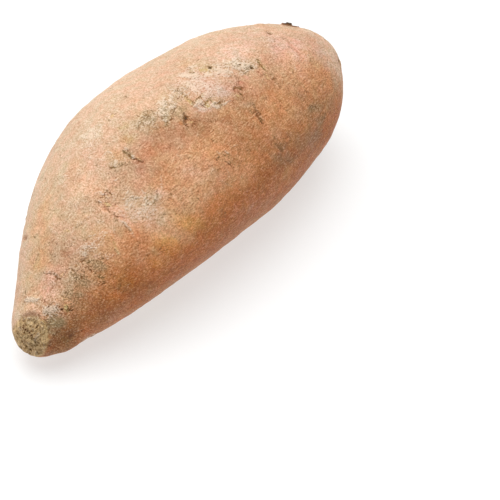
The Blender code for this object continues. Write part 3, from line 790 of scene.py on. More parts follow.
stroke([(85.2, 107.1), (85.6, 109.7), (87.0, 111.6)], 0.40, pale=0.5, height=0.1)
stroke([(86.8, 107.2), (86.8, 109.0)], 0.35, dark=0.5, height=-0.15)
stroke([(92.7, 112.5), (94.1, 113.2), (95.9, 113.2)], 0.36, dark=0.5, height=-0.18)
stroke([(92.9, 114.6), (94.8, 115.1), (96.9, 115.0)], 0.40, pale=0.8, height=0.2)
stroke([(88.4, 94.8), (89.4, 96.8), (89.5, 99.2)], 0.34, dark=0.4, height=-0.12)
stroke([(82.1, 96.8), (83.2, 97.6), (82.6, 99.6)], 0.36, dark=0.45, height=-0.14)
stroke([(82.1, 93.6), (80.7, 94.8), (80.1, 97.0)], 0.40, pale=0.9, height=0.2)
stroke([(79.2, 92.0), (78.2, 94.7), (76.6, 95.6)], 0.45, pale=0.9, height=0.2)
stroke([(74.9, 94.4), (74.6, 96.9), (73.2, 98.2)], 0.40, pale=0.7, grey=0.3, height=0.18)
stroke([(75.7, 91.1), (76.1, 92.7), (75.6, 94.7)], 0.34, dark=0.55, height=-0.15)
stroke([(72.3, 92.2), (72.0, 94.9)], 0.34, dark=0.6, height=-0.15)
stroke([(72.7, 104.1), (74.6, 104.2), (75.1, 105.6)], 0.36, dark=0.65, height=-0.16)
stroke([(68.5, 92.6), (70.2, 92.1), (71.0, 93.3)], 0.36, dark=0.55, height=-0.15)
stroke([(65.9, 92.7), (67.4, 92.7)], 0.34, dark=0.5, height=-0.14)
stroke([(92.0, 84.0), (93.5, 85.4), (94.3, 88.1), (95.9, 90.7)], 0.50, pale=1, height=0.22)
stroke([(96.8, 85.2), (98.0, 86.9), (99.5, 88.8), (102.4, 89.5)], 0.36, yellow=0.7, pale=0.5, height=0.18)
stroke([(95.3, 83.2), (97.0, 83.6), (99.0, 83.4)], 0.34, red=0.6, dark=0.3, height=-0.12)
stroke([(96.3, 87.4), (97.0, 89.1), (98.4, 90.1)], 0.32, dark=0.45, height=-0.14)
stroke([(103.6, 93.3), (104.5, 96.4), (106.6, 98.9), (107.2, 102.4)], 0.42, pale=0.9, height=0.2)
stroke([(102.8, 99.8), (104.1, 102.5), (106.4, 104.1)], 0.40, pale=0.9, height=0.2)
stroke([(112.6, 99.0), (113.6, 101.3), (114.1, 104.3)], 0.45, pale=0.9, grey=0.2, height=0.2)
stroke([(109.7, 101.3), (110.6, 103.4), (110.0, 105.5)], 0.36, dark=0.5, grey=0.4, height=-0.14)
stroke([(110.6, 107.0), (110.7, 109.4), (112.3, 109.7)], 0.36, dark=0.45, height=-0.14)
spot(89.8, 98.2, 2.09, 2.07, 28, ragged=0.50, hard=0.10, pale=0.55, pink=0.3)
spot(96.5, 102.5, 3.59, 3.19, 26, ragged=0.40, hard=0.10, pink=0.55, pale=0.45)
spot(97.9, 109.5, 3.66, 2.47, 20, ragged=0.40, hard=0.10, pink=0.5, pale=0.35)
spot(89.0, 90.0, 2.90, 2.93, 45, ragged=0.50, hard=0.10, pale=0.4)
spot(103.7, 99.6, 4.07, 1.15, 13, ragged=0.50, hard=0.10, pale=0.4, pink=0.2)
# patches of fine scratches by the eye and the mid swell
stroke([(47.2, 95.2), (48.5, 96.9), (48.9, 99.6)], 0.30, wander=0.2, dark=0.5, height=-0.14)
stroke([(45.7, 96.1), (46.8, 97.7), (47.0, 99.9)], 0.30, wander=0.2, dark=0.5, height=-0.14)
stroke([(47.2, 98.9), (48.2, 100.5), (48.7, 103.1)], 0.30, wander=0.2, dark=0.45, height=-0.14)
stroke([(45.6, 99.6), (46.6, 101.1), (46.8, 103.3)], 0.30, wander=0.2, dark=0.4, height=-0.12)
stroke([(50.0, 99.6), (50.9, 101.2), (51.4, 103.9)], 0.30, wander=0.2, dark=0.4, height=-0.12)
stroke([(45.4, 102.2), (46.7, 104.7), (47.8, 106.0)], 0.30, wander=0.2, pale=0.6, height=0.12)
stroke([(39.2, 96.3), (40.3, 98.4), (40.5, 101.8)], 0.36, wander=0.2, pale=0.8, height=0.15)
stroke([(38.9, 98.6), (40.0, 103.3), (41.4, 106.3)], 0.30, wander=0.2, dark=0.25, yellow=0.3, height=-0.15)
stroke([(41.5, 100.7), (42.0, 103.4), (42.2, 107.0)], 0.30, wander=0.2, dark=0.45, yellow=0.4, height=-0.12)
stroke([(38.6, 104.8), (38.6, 108.7), (38.2, 112.0)], 0.36, wander=0.2, dark=0.3, red=0.5, height=-0.2)
stroke([(40.1, 106.5), (40.5, 111.7), (40.5, 117.4), (40.6, 122.9)], 0.34, wander=0.2, red=0.5, pale=0.2, height=0.15)
stroke([(38.5, 99.3), (38.3, 102.7), (37.9, 105.8)], 0.34, wander=0.2, pale=0.7, height=0.16)
stroke([(38.6, 121.4), (38.9, 126.7), (38.9, 132.3), (38.1, 137.4)], 0.50, wander=0.2, pale=0.7, height=0.22)
stroke([(38.4, 123.6), (38.6, 129.8), (37.9, 135.2)], 0.34, wander=0.2, dark=0.35, height=-0.14)
stroke([(39.4, 63.3), (40.4, 68.2), (39.8, 72.8)], 0.40, wander=0.2, pale=0.8, height=0.14)
stroke([(37.0, 63.3), (38.1, 66.9), (38.0, 73.1)], 0.40, wander=0.2, pale=0.7, height=0.14)
stroke([(35.5, 61.8), (36.3, 67.0)], 0.34, wander=0.2, pale=0.6, height=0.12)
stroke([(53.6, 59.8), (54.4, 64.2), (54.0, 70.0)], 0.50, wander=0.2, pale=0.8, height=0.14)
stroke([(49.8, 80.6), (49.0, 85.7), (48.7, 90.4)], 0.34, wander=0.2, pale=0.6, height=0.14)
stroke([(25.6, 85.1), (26.6, 87.9), (26.6, 92.2)], 0.30, wander=0.2, yellow=0.6, dark=0.2)
stroke([(36.3, 113.5), (36.3, 117.6)], 0.30, wander=0.2, dark=0.4, height=-0.12)
stroke([(62.7, 147.2), (62.9, 150.4), (62.4, 152.6)], 0.34, wander=0.2, dark=0.6, height=-0.15)
stroke([(64.4, 145.1), (63.8, 147.9)], 0.30, wander=0.2, dark=0.4, height=-0.12)
stroke([(76.9, 144.3), (77.9, 146.8), (78.3, 149.9)], 0.32, wander=0.2, pale=0.5, height=0.12)
stroke([(74.3, 150.5), (75.2, 153.5), (76.8, 156.8)], 0.32, wander=0.2, pale=0.5, height=0.12)
stroke([(73.6, 138.0), (73.9, 140.8)], 0.32, wander=0.2, dark=0.4, height=-0.12)
stroke([(81.9, 155.3), (83.2, 157.8)], 0.32, wander=0.2, dark=0.45, height=-0.12)
stroke([(79.1, 161.5), (80.5, 164.3)], 0.32, wander=0.2, dark=0.5, height=-0.12)

# darker brown patches towards the crown's lower side
spot(103.9, 155.9, 3.87, 2.02, 35, ragged=0.70, hard=0.15, olive=0.15, umber=0.45, dark=0.28)
spot(99.6, 160.3, 3.35, 1.95, 32, ragged=0.70, hard=0.15, olive=0.15, umber=0.45, dark=0.3)
spot(106.5, 169.3, 3.97, 1.50, 26, ragged=0.70, hard=0.15, olive=0.12, umber=0.35, dark=0.25)
spot(109.5, 153.1, 2.40, 1.43, 36, ragged=0.70, hard=0.15, olive=0.12, umber=0.35, dark=0.22)
spot(126.5, 152.4, 4.28, 1.88, 33, ragged=0.70, hard=0.15, olive=0.15, umber=0.4, dark=0.25)
spot(129.1, 163.3, 3.68, 1.61, 34, ragged=0.70, hard=0.15, olive=0.1, umber=0.3, dark=0.2)
spot(125.5, 142.0, 3.62, 1.58, 28, ragged=0.70, hard=0.15, olive=0.1, umber=0.25, dark=0.2)
spot(96.7, 120.9, 2.52, 1.93, 40, ragged=0.70, hard=0.15, olive=0.1, umber=0.3, dark=0.15, grey=0.2)
stroke([(103.6, 122.3), (103.0, 125.3), (102.7, 129.4), (102.0, 133.9), (101.5, 137.9)], 0.50, dark=0.55, umber=0.4, height=-0.2)
stroke([(102.0, 147.0), (103.2, 149.6), (103.6, 153.0)], 0.34, wander=0.2, dark=0.6, height=-0.15)
stroke([(105.3, 151.9), (106.6, 154.1)], 0.34, wander=0.2, dark=0.5, height=-0.12)
stroke([(100.1, 154.9), (101.8, 158.9)], 0.34, wander=0.2, dark=0.55, height=-0.14)
stroke([(105.5, 160.5), (106.7, 164.8)], 0.34, wander=0.2, dark=0.5, height=-0.12)

# the darkest squiggles by the shoulder and in the dent
stroke([(102.2, 111.1), (103.6, 111.3), (104.3, 113.4), (104.5, 115.2)], 0.42, wander=0.25, dark=0.62, umber=0.3, height=-0.2)
stroke([(102.0, 113.3), (102.6, 115.1), (102.6, 116.9)], 0.36, wander=0.25, dark=0.5, height=-0.15)
spot(104.4, 112.5, 1.10, 0.80, 16, ragged=0.60, hard=0.10, dark=0.22, umber=0.35)
spot(78.6, 109.8, 0.80, 1.60, 49, ragged=0.60, hard=0.10, dark=0.25, umber=0.4)
stroke([(79.4, 107.5), (78.5, 109.7), (77.1, 111.8)], 0.42, wander=0.25, dark=0.42, height=-0.2)
stroke([(79.5, 109.7), (80.0, 111.3), (79.7, 112.8)], 0.36, wander=0.25, dark=0.4, height=-0.12)
spot(88.8, 110.9, 3.91, 1.77, 24, ragged=0.40, broad=0.30, hard=0.00, pink=0.7, lift=-1.2)
spot(84.7, 108.0, 2.56, 1.42, 26, ragged=0.40, broad=0.30, hard=0.00, pink=0.5, lift=-0.9)

# the reddish crease towards the tail
stroke([(37.6, 106.4), (37.9, 112.0), (38.6, 117.6), (39.8, 125.2)], 0.45, wander=0.4, height=-0.2, red=0.7, dark=0.45)
stroke([(38.8, 106.0), (39.2, 110.5)], 0.6, height=0.12, yellow=0.7)
stroke([(37.4, 99.8), (38.3, 104.2)], 0.4, height=-0.15, dark=0.6)
stroke([(41.8, 101.5), (42.0, 106.5)], 0.4, height=-0.12, dark=0.5)
# marks round the crown
spot(60.9, 85.2, 0.6, 0.9, dark=0.5, yellow=0.5, height=-0.15)
spot(137.4, 87.1, 1.0, 1.6, ragged=0.6, dark=0.5, height=-0.15)
spot(134.5, 96.5, 1.6, 1.0, ragged=0.8, dark=0.25)
spot(142.1, 69.0, 2.0, 2.6, ragged=0.2, height=0.5)
spot(30.6, 22.0, 0.7, 1.2, dark=0.6, height=0.3)
stroke([(149.6, 74.4), (151.0, 73.4), (152.6, 73.0), (154.2, 73.4)], 0.75, ragged=0.1, height=0.85, dark=2.2, shade=1.25)
stroke([(152.6, 73.0), (155.0, 73.8), (157.4, 76.0)], 0.6, ragged=0.1, height=0.4, dark=1.4, shade=0.9)
stroke([(151.0, 76.0), (153.5, 75.6), (156.0, 76.8)], 0.5, height=-0.2, pale=0.4)
stroke([(150.0, 78.5), (153.5, 77.2), (157.0, 79.5)], 0.8, height=-0.25, orange=0.5)

pick = random.Random(41)


def scratch(x, d, kind, strong):
    """A short scratch, dark or pale, more often across the root than along it."""
    beside_dent = abs(x - 77.6) < 2.6 and abs(d - 120.0) < 5.0
    size = float(np.interp(x, PROFILE_X, PROFILE_R))
    turn_by = pick.gauss(90.0, 40.0) if pick.random() < 0.6 else pick.gauss(0.0, 25.0)
    half = pick.uniform(0.5, 1.5)
    da, db = half * math.cos(math.radians(turn_by)), half * math.sin(math.radians(turn_by))
    ends = [(x - da, d - math.degrees(db / size)), (x + da, d + math.degrees(db / size))]
    if beside_dent:
        return
    if kind == "dark":
        stroke(ends, pick.uniform(0.26, 0.38), dark=strong * pick.uniform(0.3, 0.6), height=-0.12)
    else:
        dull = 0.35 if 128.0 < d < 215.0 else 1.0
        stroke(ends, pick.uniform(0.28, 0.42), pale=dull * strong * pick.uniform(0.5, 0.9), height=0.12)


# places where scratches and flaking skin lie close together
for x0, d0, ru, rv, rot, count, kind in (
    # along, deg, half long, half round, turn, how many, which
    (70, 96, 6.1, 4.9, 37, 16, "dark"),
    (76, 98, 3.2, 4.9, 57, 14, "both"),
    (85, 94, 5.0, 2.8, 42, 10, "both"),
    (91, 112, 4.0, 1.6, 25, 12, "both"),
    (104, 111, 3.4, 3.6, 30, 7, "dark"),
    (111, 121, 3.4, 7.2, 47, 10, "dark"),
    (106, 159, 8.1, 5.1, 36, 16, "dark"),
    (25, 126, 5.9, 6.6, 72, 20, "dark"),
    (16, 109, 5.8, 4.3, 52, 14, "dark"),
    (43, 106, 4.4, 2.8, 52, 10, "both"),
    (82, 142, 4.5, 3.8, 41, 10, "dark"),
    (46, 124, 5.7, 3.0, 56, 12, "pale"),
    (21, 89, 5.4, 3.2, 73, 10, "dark"),
    (102, 87, 9.9, 3.9, 70, 12, "pale"),
    (111, 100, 4.2, 2.7, 33, 12, "both"),
    (48, 101, 5.1, 4.1, 53, 5, "dark"),
    (135, 120, 8.3, 10.4, 29, 12, "both"),
    (57, 142, 6.5, 4.9, 45, 12, "both"),
    (31, 89, 6.7, 3.8, 59, 12, "both"),
    (81, 117, 6.2, 3.6, 37, 12, "dark"),
    (25, 150, 4.4, 2.6, 49, 12, "dark"),
    (8, 119, 3.1, 1.1, 47, 8, "both"),
    # the far side and the underside
    (30, 300, 10, 8, 20, 12, "dark"),
    (75, 330, 14, 8, 0, 16, "both"),
    (120, 345, 12, 10, 30, 14, "both"),
    (140, 10, 10, 9, 10, 14, "both"),
    (95, 15, 12, 8, -20, 12, "dark"),
    (55, 250, 12, 9, 0, 14, "dark"),
    (112, 225, 14, 8, 10, 14, "both"),
    (35, 215, 9, 7, 20, 12, "dark"),
    (150, 255, 7, 8, 0, 10, "both"),
):
    for _ in range(count):
        r, t = math.sqrt(pick.random()), pick.uniform(0.0, 2 * math.pi)
        a, b = ru * r * math.cos(t), rv * r * math.sin(t)
        w = math.radians(rot)
        size = float(np.interp(x0, PROFILE_X, PROFILE_R))
        x = x0 + a * math.cos(w) - b * math.sin(w)
        d = d0 + math.degrees((a * math.sin(w) + b * math.cos(w)) / size)
        scratch(x, d, kind if kind != "both" else pick.choice(("dark", "pale")), 0.62 if d0 < 200.0 else 1.0)

# short scratches and flecks all over, seen best on the upper side
for _ in range(400):
    x = pick.uniform(4.0, 160.0)
    d = pick.choice((pick.uniform(30.0, 190.0), pick.uniform(0.0, 360.0)))
    scratch(x, d, "dark" if pick.random() < 0.68 else "pale", 0.85)

# root scars in rows on the sides that face away, each a short dent across
for row, (d0, many) in enumerate(((-20.0, 8), (35.0, 5), (215.0, 8), (262.0, 7), (305.0, 7))):
    for step_on in range(many):
        x = 14.0 + (132.0 / many) * (step_on + pick.uniform(0.2, 0.8))
        d = d0 + pick.uniform(-9.0, 9.0)
        size = float(np.interp(x, PROFILE_X, PROFILE_R))
        half = math.degrees(pick.uniform(1.4, 3.2) / size)
        lean = pick.uniform(-1.0, 1.0)
        stroke([(x - lean, d - half), (x, d), (x + lean, d + half)], pick.uniform(0.8, 1.4), wander=0.4, height=-0.42, umber=0.5)
        stroke([(x - 0.6 * lean, d - 0.6 * half), (x, d), (x + 0.6 * lean, d + 0.6 * half)], pick.uniform(0.38, 0.6), wander=0.3, height=-0.25, dark=pick.uniform(0.7, 1.2))
        if pick.random() < 0.5:
            spot(x + 1.5, d, 1.6, 2.2, ragged=0.6, hard=0.1, pale=0.5, height=0.1)
for _ in range(26):
    x, d = pick.uniform(12.0, 155.0), pick.choice((pick.uniform(190.0, 375.0), pick.uniform(195.0, 330.0)))
    spot(x, d, pick.uniform(3, 8), pick.uniform(2, 5), pick.uniform(-60, 60), ragged=0.5, broad=0.5, hard=0.1,
         **{pick.choice(("pale", "grey", "olive", "pink", "yellow")): pick.uniform(0.4, 0.85)})
# the crown's far end, where the stem was: a small corky scar with folds round it
spot(166.0, 90.0, 3.6, 3.6, ragged=0.5, hard=0.2, cork=0.9, height=-0.5)
spot(166.0, 90.0, 1.5, 1.5, ragged=0.5, hard=0.3, dark=0.9, height=-0.6)
for d in range(0, 360, 24):
    turned = d + pick.uniform(-9.0, 9.0)
    stroke([(165.2, turned), (163.2, turned + pick.uniform(-6.0, 6.0)), (160.4 - pick.uniform(0.0, 3.0), turned + pick.uniform(-8.0, 8.0))],
           pick.uniform(0.4, 0.7), wander=0.4, height=-0.3, dark=pick.uniform(0.2, 0.5), umber=0.3)
for x, d in ((160.0, 20.0), (158.5, 150.0), (161.5, 250.0), (156.0, 310.0), (159.0, 205.0)):
    spot(x, d, 1.1, 1.5, ragged=0.5, hard=0.3, dark=0.7, height=-0.35)
    spot(x + 1.2, d + 6.0, 1.6, 2.0, ragged=0.5, hard=0.1, cork=0.5, height=0.3)

# --- the broken stub: a folded collar round rough dry cork with pits ---------
cork_edge = np.interp(
    deg,
    (0, 40, 60, 86, 108, 127, 148, 170, 190, 230, 300, 360),
    (-0.7, 0.0, 0.9, 2.9, 4.4, 4.5, 2.8, 1.2, 0.7, 0.0, -0.5, -0.7),
)
inward = cork_edge + 0.5 * EDGE + 0.3 * EDGE2 - along
cork = step(-0.7, 0.9, inward)
layers["cork"] += cork
grit = 1 - 2 * np.abs(noise(P / 2.3, 91))
lump = noise(P / 3.4, 92)
crumb_form = noise(P / 1.25, 93)
fine_crumb = noise(P / 0.75, 94)
deep = step(1.2, 2.6, inward)
layers["height"] += (
    cork * (0.26 * grit + 0.24 * crumb_form + 0.14 * fine_crumb)
    + deep * (0.30 * lump - 0.20)
)
layers["shade"] += cork * (0.30 * np.clip(-crumb_form, 0, 1) + 0.25 * np.clip(-lump, 0, 1)) + 0.20 * deep
layers["pale"] += cork * 0.7 * np.clip(crumb_form - 0.05, 0, 1)
layers["yellow"] += 0.6 * deep * np.clip(lump, 0, 1)
# pits and dry curls on the sides of the stub that face away and down
for x, d, size, sink in (
    (-1.5, 195.0, 0.65, 0.8), (-1.0, 10.0, 0.6, 0.8), (-0.8, 260.0, 0.6, 0.8), (0.2, 320.0, 0.6, 0.8),
    (-1.3, 230.0, 0.5, 0.7), (-0.2, 30.0, 0.5, 0.6), (-1.4, 300.0, 0.6, 0.7),
):
    spot(x, d, size, size, ragged=0.45, dark=1.2, height=-sink, hard=0.45)
stroke([(-0.8, 178.0), (-0.4, 200.0), (-0.5, 222.0)], 0.6, wander=0.8, yellow=0.5, height=0.3)
# the stub seen close: its pits, folds, dry curls and dark rough corner
stroke([(1.4, 62.5), (1.8, 69.7), (2.7, 79.6), (3.5, 89.1), (4.0, 97.4), (4.4, 106.3), (4.6, 113.9)], 1.25, ragged=0.1, shade=1.05, dark=0.15, height=-0.4)
stroke([(1.1, 69.3), (2.2, 79.8), (2.9, 91.4), (3.5, 101.8), (4.0, 110.8), (4.0, 119.0), (3.5, 126.9)], 0.50, ragged=0.15, wander=0.2, pale=0.6, height=0.35)
stroke([(1.1, 76.8), (2.2, 88.7), (2.8, 99.8), (3.1, 110.5), (3.1, 120.2), (2.5, 128.7)], 0.50, ragged=0.15, wander=0.2, shade=0.55, dark=0.25, height=-0.3)
stroke([(3.1, 113.1), (3.1, 120.7), (2.7, 129.8), (1.8, 136.8)], 0.42, ragged=0.2, wander=0.3, pale=0.5, height=0.3)
stroke([(4.9, 118.7), (4.9, 126.6), (4.4, 134.1), (4.0, 140.3)], 0.60, ragged=0.15, shade=0.6, height=-0.25)
stroke([(4.5, 117.1), (4.4, 124.7), (4.0, 132.2), (3.5, 139.4)], 0.45, ragged=0.15, yellow=0.6, height=0.25)
spot(0.4, 70.6, 0.33, 0.27, 90, ragged=0.20, hard=0.50, dark=1.7, height=-0.7)
spot(0.1, 88.1, 0.27, 0.15, 63, ragged=0.20, hard=0.50, dark=1.5, height=-0.5)
spot(0.2, 97.3, 0.23, 0.15, 62, ragged=0.20, hard=0.50, dark=1.6, height=-0.6)
spot(0.4, 82.2, 0.14, 0.10, 90, ragged=0.35, hard=0.40, dark=1.1, height=-0.3)
spot(-1.1, 49.9, 0.47, 0.22, 90, ragged=0.20, hard=0.50, dark=1.5, height=-0.6)
spot(-0.7, 42.7, 0.32, 0.11, 90, ragged=0.35, hard=0.40, dark=0.8, height=-0.3)
spot(2.1, 115.3, 0.21, 0.20, 59, ragged=0.40, hard=0.40, dark=1.2, height=-0.6)
spot(2.2, 107.9, 0.16, 0.15, 63, ragged=0.35, hard=0.40, dark=0.8, height=-0.3)
spot(-1.6, 177.9, 0.45, 0.84, -88, ragged=0.30, hard=0.40, dark=1.4, height=-0.5)
spot(-1.6, 38.7, 0.60, 0.60, 90, ragged=0.35, hard=0.40, dark=0.9, height=-0.3)
spot(-1.5, 199.0, 0.20, 0.38, -79, ragged=0.35, hard=0.40, dark=1, height=-0.4)
spot(-1.5, 47.1, 0.44, 0.23, 87, ragged=0.35, hard=0.40, dark=0.8, height=-0.3)
spot(0.4, 121.4, 0.50, 0.56, 64, ragged=0.60, hard=0.10, olive=0.9, shade=0.35, height=-0.2)
spot(-0.5, 141.3, 0.39, 0.61, 39, ragged=0.70, hard=0.20, dark=0.95, shade=0.5, height=-0.5)
spot(-0.4, 156.7, 0.38, 0.64, 26, ragged=0.70, hard=0.20, dark=0.9, shade=0.5, height=-0.4)
spot(-1.1, 141.7, 0.18, 0.38, 42, ragged=0.70, hard=0.20, dark=0.8, height=-0.3)
spot(0.7, 147.3, 0.46, 0.61, 39, ragged=0.70, hard=0.10, shade=0.6, bark=0.4)
spot(-0.1, 173.6, 0.34, 1.06, 3, ragged=0.70, hard=0.10, shade=0.45, dark=0.2)
stroke([(1.8, 127.0), (1.2, 129.8), (0.7, 135.1)], 0.60, ragged=0.2, wander=0.3, pale=1, height=0.5)
stroke([(0.4, 130.4), (0.4, 137.4), (0.4, 143.5)], 0.45, wander=0.3, pale=0.8, height=0.35)
stroke([(1.8, 86.3), (1.8, 92.6), (2.2, 95.5)], 0.50, wander=0.3, pale=0.9, height=0.3)
stroke([(2.2, 99.4), (1.8, 105.6), (1.4, 113.6)], 0.45, wander=0.3, pale=0.7, height=0.3)
stroke([(0.7, 64.2), (0.7, 74.1), (0.4, 81.0)], 0.45, wander=0.2, pale=0.8, height=0.3)
stroke([(0.1, 102.1), (-0.7, 101.7), (-0.9, 112.1)], 0.50, wander=0.4, yellow=0.9, height=0.25)
stroke([(-0.7, 81.2), (-1.2, 78.5), (-1.5, 86.5)], 0.50, wander=0.4, yellow=0.8, height=0.25)
stroke([(-1.0, 125.1), (-1.5, 141.1), (-1.4, 172.3)], 0.50, wander=0.4, yellow=0.8, pale=0.3, height=0.3)
stroke([(-1.1, 182.1), (-0.7, 193.4), (-0.4, 203.4)], 0.60, wander=0.3, pale=0.8, height=0.35)
stroke([(1.1, 83.2), (-0.4, 79.0), (-0.7, 67.8)], 0.40, wander=0.3, dark=0.55, height=-0.2)
stroke([(-0.1, 107.6), (-0.4, 121.3), (-1.0, 128.7)], 0.40, wander=0.4, dark=0.6, height=-0.25)
stroke([(-1.1, 96.2), (-1.5, 107.5), (-1.6, 97.9)], 0.40, wander=0.4, dark=0.55, height=-0.25)
stroke([(1.1, 111.3), (0.4, 110.3), (0.1, 117.2)], 0.35, wander=0.3, dark=0.5, height=-0.2)
stroke([(-1.6, 178.0), (-1.4, 160.7), (-1.2, 171.0)], 0.40, wander=0.3, dark=0.65, height=-0.25)
stroke([(-0.9, 166.5), (-0.7, 180.7), (-0.1, 186.1)], 0.40, wander=0.3, dark=0.5, height=-0.2)
stroke([(2.2, 31.6), (0.7, 30.3), (-0.1, 20.4), (-0.9, 9.0)], 0.90, ragged=0.1, pale=0.45, grey=0.3, height=0.1)
# the skin round the stub: whitish scales, a grey-green bloom, rough brown skin, its darkness partly painted shade
spot(6.8, 117.4, 1.02, 0.48, 57, ragged=0.60, hard=0.15, pale=0.9, grey=0.25, height=0.15)
spot(8.3, 123.0, 0.99, 0.53, 52, ragged=0.60, hard=0.15, pale=0.8, height=0.12)
spot(8.3, 130.8, 0.88, 0.59, 57, ragged=0.60, hard=0.15, pale=0.45, grey=0.5)
spot(5.8, 116.2, 0.70, 0.45, 68, ragged=0.60, hard=0.15, pale=0.6, height=0.1)
stroke([(6.2, 109.9), (7.0, 110.6), (7.7, 114.6)], 0.45, wander=0.2, pale=0.8, height=0.2)
stroke([(6.1, 116.3), (6.7, 118.5), (6.8, 124.4)], 0.35, wander=0.2, dark=0.45, height=-0.15)
stroke([(7.5, 123.4), (7.9, 127.6), (7.8, 132.3)], 0.35, wander=0.2, dark=0.5, height=-0.15)
spot(8.2, 142.1, 0.85, 1.00, 58, ragged=0.50, hard=0.10, olive=0.95, grey=0.6)
spot(6.9, 137.9, 0.98, 0.68, 49, ragged=0.50, hard=0.10, olive=0.7, grey=0.5)
spot(6.8, 144.2, 0.86, 0.62, 53, ragged=0.50, hard=0.10, bloom=0.7)
spot(4.2, 141.3, 0.72, 0.95, 50, ragged=0.50, hard=0.10, olive=0.6, shade=0.3)
spot(4.4, 149.5, 1.11, 0.91, 36, ragged=0.50, hard=0.10, grey=0.6, olive=0.4, pale=0.2)
spot(2.7, 163.5, 1.41, 1.75, 31, ragged=0.40, hard=0.30, bark=1, shade=0.25)
spot(5.1, 165.2, 2.03, 2.24, 41, ragged=0.40, hard=0.30, bark=0.95, shade=0.1)
spot(7.9, 165.6, 1.92, 2.28, 41, ragged=0.40, hard=0.20, bark=0.7, rust=0.3)
spot(5.4, 191.9, 3.31, 3.74, 44, ragged=0.40, hard=0.30, bark=0.8, shade=0.1)
spot(9.2, 189.3, 2.30, 3.57, 46, ragged=0.40, hard=0.20, bark=0.7, rust=0.3)
spot(9.9, 154.1, 1.64, 1.66, 55, ragged=0.40, hard=0.10, rust=0.5, bark=0.3)
stroke([(4.0, 156.7), (5.3, 156.5), (6.7, 156.1)], 0.40, wander=0.3, dark=0.4, height=-0.15)
stroke([(4.2, 171.4), (5.8, 170.9), (7.5, 170.5)], 0.40, wander=0.3, dark=0.4, height=-0.15)
stroke([(1.8, 171.9), (3.5, 180.6), (5.7, 183.9)], 0.40, wander=0.3, dark=0.4, height=-0.15)
stroke([(8.0, 155.9), (9.2, 157.1), (10.6, 157.4)], 0.40, wander=0.3, dark=0.4, height=-0.12)
spot(10.1, 130.8, 0.26, 0.32, 44, ragged=0.20, hard=0.50, dark=1.7, height=-0.5)
spot(9.3, 135.4, 0.37, 0.30, 48, ragged=0.35, hard=0.40, shade=0.5, dark=0.3, height=-0.15)
stroke([(11.4, 130.8), (11.2, 135.0), (11.4, 139.5)], 0.60, yellow=1, height=0.15)
stroke([(11.4, 136.3), (11.8, 140.6), (12.0, 142.8)], 0.38, dark=0.75, height=-0.2)
spot(11.7, 132.8, 0.23, 0.16, 45, ragged=0.40, hard=0.30, yellow=0.8, dark=0.2)
spot(4.4, 73.6, 2.63, 1.08, 67, ragged=0.30, hard=0.00, peach=0.4, warmth=0.4)
stroke([(6.6, 62.6), (7.0, 72.8), (7.5, 82.0), (8.3, 89.7)], 0.80, ragged=0.4, wander=0.3, pale=0.9, height=0.2)
stroke([(6.1, 61.8), (6.4, 75.2), (7.0, 86.5)], 0.50, wander=0.3, shade=0.25, height=-0.2)
# the darkest pits of the stub, with pale dry ridges between them, and its brown lower corner
spot(0.4, 91.0, 0.34, 0.26, 90, ragged=0.30, hard=0.30, dark=1.3, shade=0.5, height=-0.3)
spot(1.1, 101.7, 0.40, 0.30, 54, ragged=0.30, hard=0.30, dark=1.3, shade=0.5, height=-0.3)
spot(-0.7, 87.9, 0.46, 0.19, 66, ragged=0.30, hard=0.30, dark=1.3, shade=0.5, height=-0.3)
spot(0.1, 106.0, 0.36, 0.28, 59, ragged=0.30, hard=0.30, dark=1.3, shade=0.5, height=-0.3)
spot(0.9, 117.4, 0.27, 0.27, 65, ragged=0.30, hard=0.30, dark=1.3, shade=0.5, height=-0.3)
spot(-1.4, 79.4, 0.39, 0.34, 90, ragged=0.30, hard=0.30, dark=1.3, shade=0.5, height=-0.3)
spot(-1.1, 110.5, 0.32, 0.25, 63, ragged=0.30, hard=0.30, dark=1.3, shade=0.5, height=-0.3)
spot(-0.7, 128.6, 0.33, 0.34, 45, ragged=0.30, hard=0.30, dark=1.3, shade=0.5, height=-0.3)
spot(0.5, 130.7, 0.29, 0.27, 46, ragged=0.30, hard=0.30, dark=1.3, shade=0.5, height=-0.3)
spot(-0.9, 155.4, 0.26, 0.72, 26, ragged=0.30, hard=0.30, dark=1.3, shade=0.5, height=-0.3)
spot(-0.7, 189.2, 0.23, 0.77, -23, ragged=0.30, hard=0.30, dark=1.3, shade=0.5, height=-0.3)
spot(-1.5, 144.1, 0.13, 0.61, 51, ragged=0.30, hard=0.30, dark=1.3, shade=0.5, height=-0.3)
spot(-0.4, 72.1, 0.72, 0.17, 73, ragged=0.50, hard=0.20, pale=0.6, height=0.15)
spot(-0.7, 107.4, 0.45, 0.20, 56, ragged=0.50, hard=0.20, pale=0.6, height=0.15)
spot(1.3, 109.6, 0.36, 0.23, 59, ragged=0.50, hard=0.20, pale=0.6, height=0.15)
spot(-1.6, 97.9, 0.77, 0.27, 83, ragged=0.50, hard=0.20, pale=0.6, height=0.15)
spot(1.4, 126.3, 0.52, 0.27, 42, ragged=0.50, hard=0.20, pale=0.6, height=0.15)
spot(-1.5, 180.7, 0.46, 0.64, -62, ragged=0.50, hard=0.20, pale=0.6, height=0.15)
spot(-0.4, 146.8, 1.04, 1.89, 31, ragged=0.50, broad=0.20, hard=0.00, dark=0.3, shade=0.5)

# the skin beside the stub, pulled out a little
spot(8.0, 205.0, 7.0, 6.0, ragged=0.2, hard=-0.3, height=1.2)

height = layers["height"]

